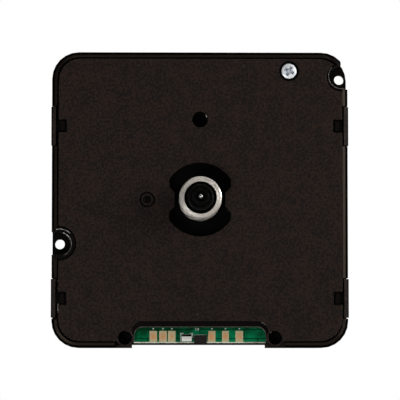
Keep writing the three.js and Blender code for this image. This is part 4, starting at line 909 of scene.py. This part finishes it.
def screw_points():
    """The screw as rows along its radius, then down its side, and columns round it. The head falls
    away from its middle by a power of the radius. The cross is cut where a place lies near one of
    two crossed lines: its depth grows from the recess's sides and ends at an even slope."""
    low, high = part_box("case_screw")
    radius = (high.x - low.x) / 2 * HEAD_SHARE
    x, z = (low.x + high.x) / 2, (low.z + high.z) / 2
    out = np.linspace(0, radius, HEAD_ROWS)[:, None]
    turn = np.linspace(0, 2 * np.pi, HEAD_COLUMNS, endpoint=False)[None, :]
    along, across = np.abs(out * np.cos(turn - CROSS_TURN)), np.abs(out * np.sin(turn - CROSS_TURN))
    side = np.clip((CROSS_HALF_WIDTH - np.minimum(along, across)) / CROSS_SLOPE, 0, 1)
    end = np.clip((CROSS_HALF_LENGTH - np.maximum(along, across)) / CROSS_SLOPE, 0, 1)
    depth = low.y + HEAD_CROWN * (out / radius) ** CROWN_POWER + CROSS_DEPTH * np.minimum(side, end)
    head = np.stack([x + out * np.cos(turn), depth, z + out * np.sin(turn)], axis=2)
    rest = np.array([(radius, low.y + HEAD_HEIGHT), (SHANK_RADIUS, low.y + HEAD_HEIGHT),
                     (SHANK_RADIUS, high.y - SHANK_POINT), (0.0, high.y)])
    return np.concatenate([head, revolved(x, z, rest, HEAD_COLUMNS)])


def cross_screw():
    screw = dress(grid_piece("cross_screw", screw_points()), screw_finish, "root", "zinc_steel",
                  "case_screw")
    low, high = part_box("case_screw")
    middle = (low + high) / 2
    # The cross recess gets the darker copy of the zinc: painted shade
    finish_where(screw, recess_shade_finish, lambda face: face.normal.y > RECESS_FLAT
                 and CROSS_MIDDLE < (face.center.xz - middle.xz).length < CROSS_HALF_LENGTH
                 and face.center.y < low.y + HEAD_HEIGHT)


def seconds_pin():
    """The pin is a straight round bar whose front end is a quarter ellipse turned round its axis."""
    low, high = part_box("seconds_arbor")
    radius = (high.x - low.x) / 2
    swing = np.linspace(0, np.pi / 2, DOME_ROWS)
    dome = np.stack([radius * np.sin(swing), low.y + PIN_DOME * (1 - np.cos(swing))], axis=1)
    profile = np.concatenate([dome, [(radius, high.y), (0.0, high.y)]])
    points = revolved((low.x + high.x) / 2, (low.z + high.z) / 2, profile, PIN_COLUMNS)
    dress(grid_piece("seconds_pin", points), arbor_finish, "seconds", "arbor_steel", "seconds_arbor")


def bush_points():
    """The bush as rows along its closed profile and columns round it. On the outside the radius is
    the thread's: a helix that falls from crest to root and back once in each pitch, cut off by the
    chamfer at the tip and fading out at the shoulder. The face at the tip has one turned groove."""
    low, high = bush_low, bush_high
    radius = (high.x - low.x) / 2
    bore, mouth = radius - BUSH_WALL, radius - MOUTH_WALL
    spigot = radius - SPIGOT_STEP
    shoulder = high.y - SPIGOT_LENGTH
    rim = radius - THREAD_CHAMFER
    groove = [(mouth + share * (rim - mouth), low.y + drop * FACE_GROOVE_DEPTH)
              for share, drop in zip(FACE_GROOVE_SHARES, (0, 1, 1, 0))]
    inside = np.array([(bore, high.y), (bore, low.y + MOUTH_TAPER), (mouth - MOUTH_ROLL, low.y + MOUTH_ROLL),
                       (mouth, low.y), (mouth + METAL_EDGE, low.y), *groove, (rim - METAL_EDGE, low.y)])
    rows = int((shoulder - low.y) / THREAD_PITCH * ROWS_PER_TURN)
    depth = np.linspace(low.y, shoulder, rows)[:, None]
    turn = np.linspace(0, 2 * np.pi, BUSH_COLUMNS, endpoint=False)[None, :]
    phase = (depth / THREAD_PITCH + turn / (2 * np.pi)) % 1.0
    away = np.abs(phase - 0.5) * 2
    fall = np.clip((away - THREAD_CREST_SHARE) / (1 - THREAD_CREST_SHARE - THREAD_ROOT_SHARE), 0, 1)
    fade = np.clip((shoulder - depth) / THREAD_PITCH, 0, 1)
    thread = np.minimum(radius - THREAD_DEPTH * fall * fade, rim + (depth - low.y))
    outside = np.array([(spigot, shoulder), (spigot, high.y)])
    x, _, z = bush_tip
    threaded = np.stack([x + thread * np.cos(turn), depth * np.ones_like(turn), z + thread * np.sin(turn)],
                        axis=2)
    ends = [revolved(x, z, profile, BUSH_COLUMNS) for profile in (inside, outside)]
    return np.concatenate([ends[0], threaded, ends[1]])


def threaded_bush():
    bush = dress(grid_piece("bush_thread", bush_points(), closed_rows=True), bush_finish, "root",
                 "plated_brass", "threaded_bush")
    middle = (bush_low + bush_high) / 2
    inner = (bush_high.x - bush_low.x) / 2 - MOUTH_WALL
    # The tip's face gets the brighter copy of the nickel, painted light, and the bore the near-black one,
    # painted shade
    finish_where(bush, faced_lit_finish, lambda face: face.center.y < bush_low.y + THREAD_CHAMFER)
    finish_where(bush, bore_shade_finish, lambda face: (face.center.xz - middle.xz).length < inner
                 and face.center.y > bush_low.y + MOUTH_ROLL)


# Board and its parts

def on_board(name, outlines, finish, slot="board_green"):
    """Flat pieces of one finish that lie on the board's lower front edge."""
    return dress(prisms(name, outlines, board_low.y - BOARD_SKIN, board_low.y), finish, "root", slot)


def pad_outlines(bottom, top):
    """Pads with their upper corners cut; one of them flares at its foot."""
    pads = []
    for k, (x, width) in enumerate(zip(PAD_MIDDLES, PAD_WIDTHS)):
        left, right = x - width / 2, x + width / 2
        foot = left - FLARE if k == FLARED_PAD else left
        pads.append([(foot, bottom), (right, bottom), (right, top - PAD_CUT), (right - PAD_CUT, top),
                     (left + PAD_CUT, top), (left, top - PAD_CUT)])
    return pads


def mark_outlines(rise):
    """Plain printed marks: a dot over each pad, a row of dashes, and lines round the two parts."""
    marks = [ring_outline(x, rise, MARK_SIZE / 2, MARK_SIDES + k % MARK_KINDS)
             for k, x in enumerate(PAD_MIDDLES)]
    middle = rise - DASH_DROP
    for k in range(DASH_COUNT):
        left = DASH_FIRST + k * DASH_STEP
        marks.append(bar_outline(left, left + DASH_WIDTH, middle - DASH_LENGTH / 2, middle + DASH_LENGTH / 2))
    return marks + silk_corners(*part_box("chip_capacitor")) + silk_lid(*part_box("chip_diode"))


def board():
    rounded("circuit_board", "green_board", METAL_EDGE, mask_finish, "root", "board_green", steps=1)
    # A near-black strip along the board's lower edge is a painted shadow line
    shadow_line_top = board_low.z + SHADOW_LINE_HEIGHT
    bottom = board_low.z + SCORE_HEIGHT
    top = bottom + PAD_HEIGHT
    pads = pad_outlines(bottom, top)
    own_places(on_board("board_pads", pads, pad_finish, "solder_tin").data, pads, PAD_SPREADS)
    on_board("board_score", [bar_outline(-TONGUE_HALF, TONGUE_HALF, shadow_line_top, bottom)], score_finish)
    on_board("board_painted_shadow_line", [bar_outline(-TONGUE_HALF, TONGUE_HALF, board_low.z, shadow_line_top)], deep_shade_finish)
    on_board("board_marks", mark_outlines(top + MARK_RISE), silk_finish)


def silk_corners(low, high):
    """Printed lines beside a part: an upright line on each side and a short one over each corner."""
    left, right = low.x - SILK_GAP, high.x + SILK_GAP
    top = high.z + SILK_GAP
    short = (right - left) * SILK_CORNER_SHARE
    return [
        bar_outline(left - SILK_LINE, left, low.z, top),
        bar_outline(right, right + SILK_LINE, top - short, top),
        bar_outline(left - SILK_LINE, left + short / 2, top, top + SILK_LINE),
        bar_outline(right - short / 2, right + SILK_LINE, top, top + SILK_LINE),
    ]


def silk_lid(low, high):
    """A printed line over a part's top edge."""
    return [bar_outline(low.x, high.x, high.z + SILK_GAP / 2, high.z + SILK_GAP / 2 + SILK_LINE / 2)]


def own_places(mesh, outlines, spreads):
    """A UV map with each flat piece's own place, from -1 to 1 across its width and height, times
    its spread."""
    layer = mesh.uv_layers.new(name="own_place")
    corner = np.empty(len(mesh.loops), int)
    mesh.loops.foreach_get("vertex_index", corner)
    places = np.empty(len(mesh.vertices) * 3)
    mesh.vertices.foreach_get("co", places)
    places = places.reshape(-1, 3)[:, [0, 2]]
    start = 0
    for outline, spread in zip(outlines, spreads):
        part = slice(start, start + 2 * len(outline))
        low, high = places[part].min(0), places[part].max(0)
        places[part] = (places[part] - (low + high) / 2) / ((high - low) / 2) * spread
        start = part.stop
    layer.data.foreach_set("uv", places[corner].reshape(-1))


def board_parts():
    rounded("chip_capacitor", "silver_part", METAL_EDGE, tin_finish, "root", "solder_tin")
    rounded("chip_diode", "black_part", METAL_EDGE, epoxy_finish, "root", "black_epoxy")
    low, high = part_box("chip_capacitor")
    band = bar_outline(low.x + METAL_EDGE, high.x - METAL_EDGE, high.z - BAND_SHARE * (high.z - low.z),
                       high.z - METAL_EDGE)
    dress(prisms("silver_part_band", [band], low.y - BOARD_SKIN, low.y), deep_shade_finish, "root", "black_epoxy")


# Contacts and inner pieces

def contacts():
    rounded("contact_plus", "plus_strip", METAL_EDGE, strip_finish, "root", "contact_nickel")
    rounded("contact_minus", "minus_leaf", METAL_EDGE, strip_finish, "root", "contact_nickel")


def inner_pieces():
    finishes = {
        "train_plate": acetal_finish, "minute_wheel": acetal_finish, "third_wheel": acetal_finish,
        "seconds_wheel": acetal_finish, "rotor_wheel": acetal_finish, "rotor_pinion": acetal_finish,
        "intermediate_wheel": pipe_finish, "coil_bobbin": acetal_finish, "rotor_magnet": ferrite_finish,
        "stator": iron_finish, "coil_core": iron_finish, "coil_winding": wire_finish,
        "quartz_crystal": zinc_finish, "drive_chip": epoxy_finish,
    }
    for node, finish in finishes.items():
        for slot in frame["nodes"][node].material_slots:
            slot.material = finish


# Stage

def one_sided_floor():
    """Pale floor that is clear from below, because the camera looks up a little from under it, and
    clear for the light of the low panel too."""
    material, tree, shader = new_material("pale_floor", Base_Color=(*FLOOR_COLOUR, 1.0), Roughness=0.9)
    clear = add(tree, "ShaderNodeBsdfTransparent")
    side = add(tree, "ShaderNodeNewGeometry").outputs["Backfacing"]
    light = add(tree, "ShaderNodeLightPath").outputs["Is Shadow Ray"]
    through = add(tree, "ShaderNodeMath", operation="MAXIMUM")
    feed(tree, side, through.inputs[0])
    feed(tree, light, through.inputs[1])
    either = add(tree, "ShaderNodeMixShader")
    feed(tree, through.outputs[0], either.inputs[0])
    feed(tree, shader.outputs[0], either.inputs[1])
    feed(tree, clear.outputs[0], either.inputs[2])
    feed(tree, either.outputs[0], tree.nodes["Material Output"].inputs["Surface"])
    return material


def floor():
    corners = [(-FLOOR_HALF, -FLOOR_HALF), (FLOOR_HALF, -FLOOR_HALF), (FLOOR_HALF, FLOOR_HALF),
               (-FLOOR_HALF, FLOOR_HALF)]
    mesh = bpy.data.meshes.new("floor")
    mesh.from_pydata([(x, y, cad_low.z) for x, y in corners], [], [(0, 1, 2, 3)])
    mesh.materials.append(one_sided_floor())
    link("floor", mesh)


def surroundings():
    """White behind the object for the camera, and a dim even room for everything else."""
    world = bpy.data.worlds.new("studio")
    world.use_nodes = True
    tree = world.node_tree
    tree.nodes.clear()
    either = add(tree, "ShaderNodeMixShader")
    for socket, colour, glow in ((either.inputs[1], ROOM_COLOUR, ROOM_GLOW),
                                 (either.inputs[2], WHITE, BACKDROP_GLOW)):
        shade = add(tree, "ShaderNodeBackground")
        feed(tree, colour, shade.inputs["Color"])
        feed(tree, glow, shade.inputs["Strength"])
        feed(tree, shade.outputs[0], socket)
    feed(tree, add(tree, "ShaderNodeLightPath").outputs["Is Camera Ray"], either.inputs[0])
    feed(tree, either.outputs[0], add(tree, "ShaderNodeOutputWorld").inputs["Surface"])
    bpy.context.scene.world = world


def panel(name, at, width, glow, colour):
    """A square soft light that looks at the middle of the object; glow is its brightness."""
    lamp = bpy.data.lights.new(name, "AREA")
    lamp.shape = "SQUARE"
    lamp.size = width
    lamp.energy = glow * math.pi * width ** 2
    lamp.color = colour
    stand = bpy.data.objects.new(name, lamp)
    bpy.context.scene.collection.objects.link(stand)
    stand.location = at
    stand.rotation_euler = (MIDDLE - Vector(at)).to_track_quat("-Z", "Y").to_euler()


def lights():
    for name, values in PANELS.items():
        panel(name, *values)


def camera():
    lens = bpy.data.cameras.new("camera")
    stand = bpy.data.objects.new("camera", lens)
    bpy.context.scene.collection.objects.link(stand)
    target = Vector((0.0, dial_face, (case_low.z + case_high.z) / 2 - AIM_DROP))
    away = Vector((-math.sin(CAMERA_LEFT) * math.cos(CAMERA_BELOW),
                   -math.cos(CAMERA_LEFT) * math.cos(CAMERA_BELOW), -math.sin(CAMERA_BELOW)))
    stand.location = target + away * CAMERA_DISTANCE
    stand.rotation_euler = (-away).to_track_quat("-Z", "Y").to_euler()
    lens.sensor_width = SENSOR_MM
    lens.lens = CAMERA_DISTANCE / VIEW_WIDTH * SENSOR_MM
    lens.clip_start = CLIP_START
    bpy.context.scene.camera = stand


camera()
case_shell()
dial_plate()
fluted_knob()
lug_lips()
plate_beads()
countersink_painted_shade()
pipes()
cross_screw()
seconds_pin()
threaded_bush()
board()
board_parts()
contacts()
inner_pieces()
floor()
surroundings()
lights()
bpy.context.scene.view_settings.view_transform = "Standard"
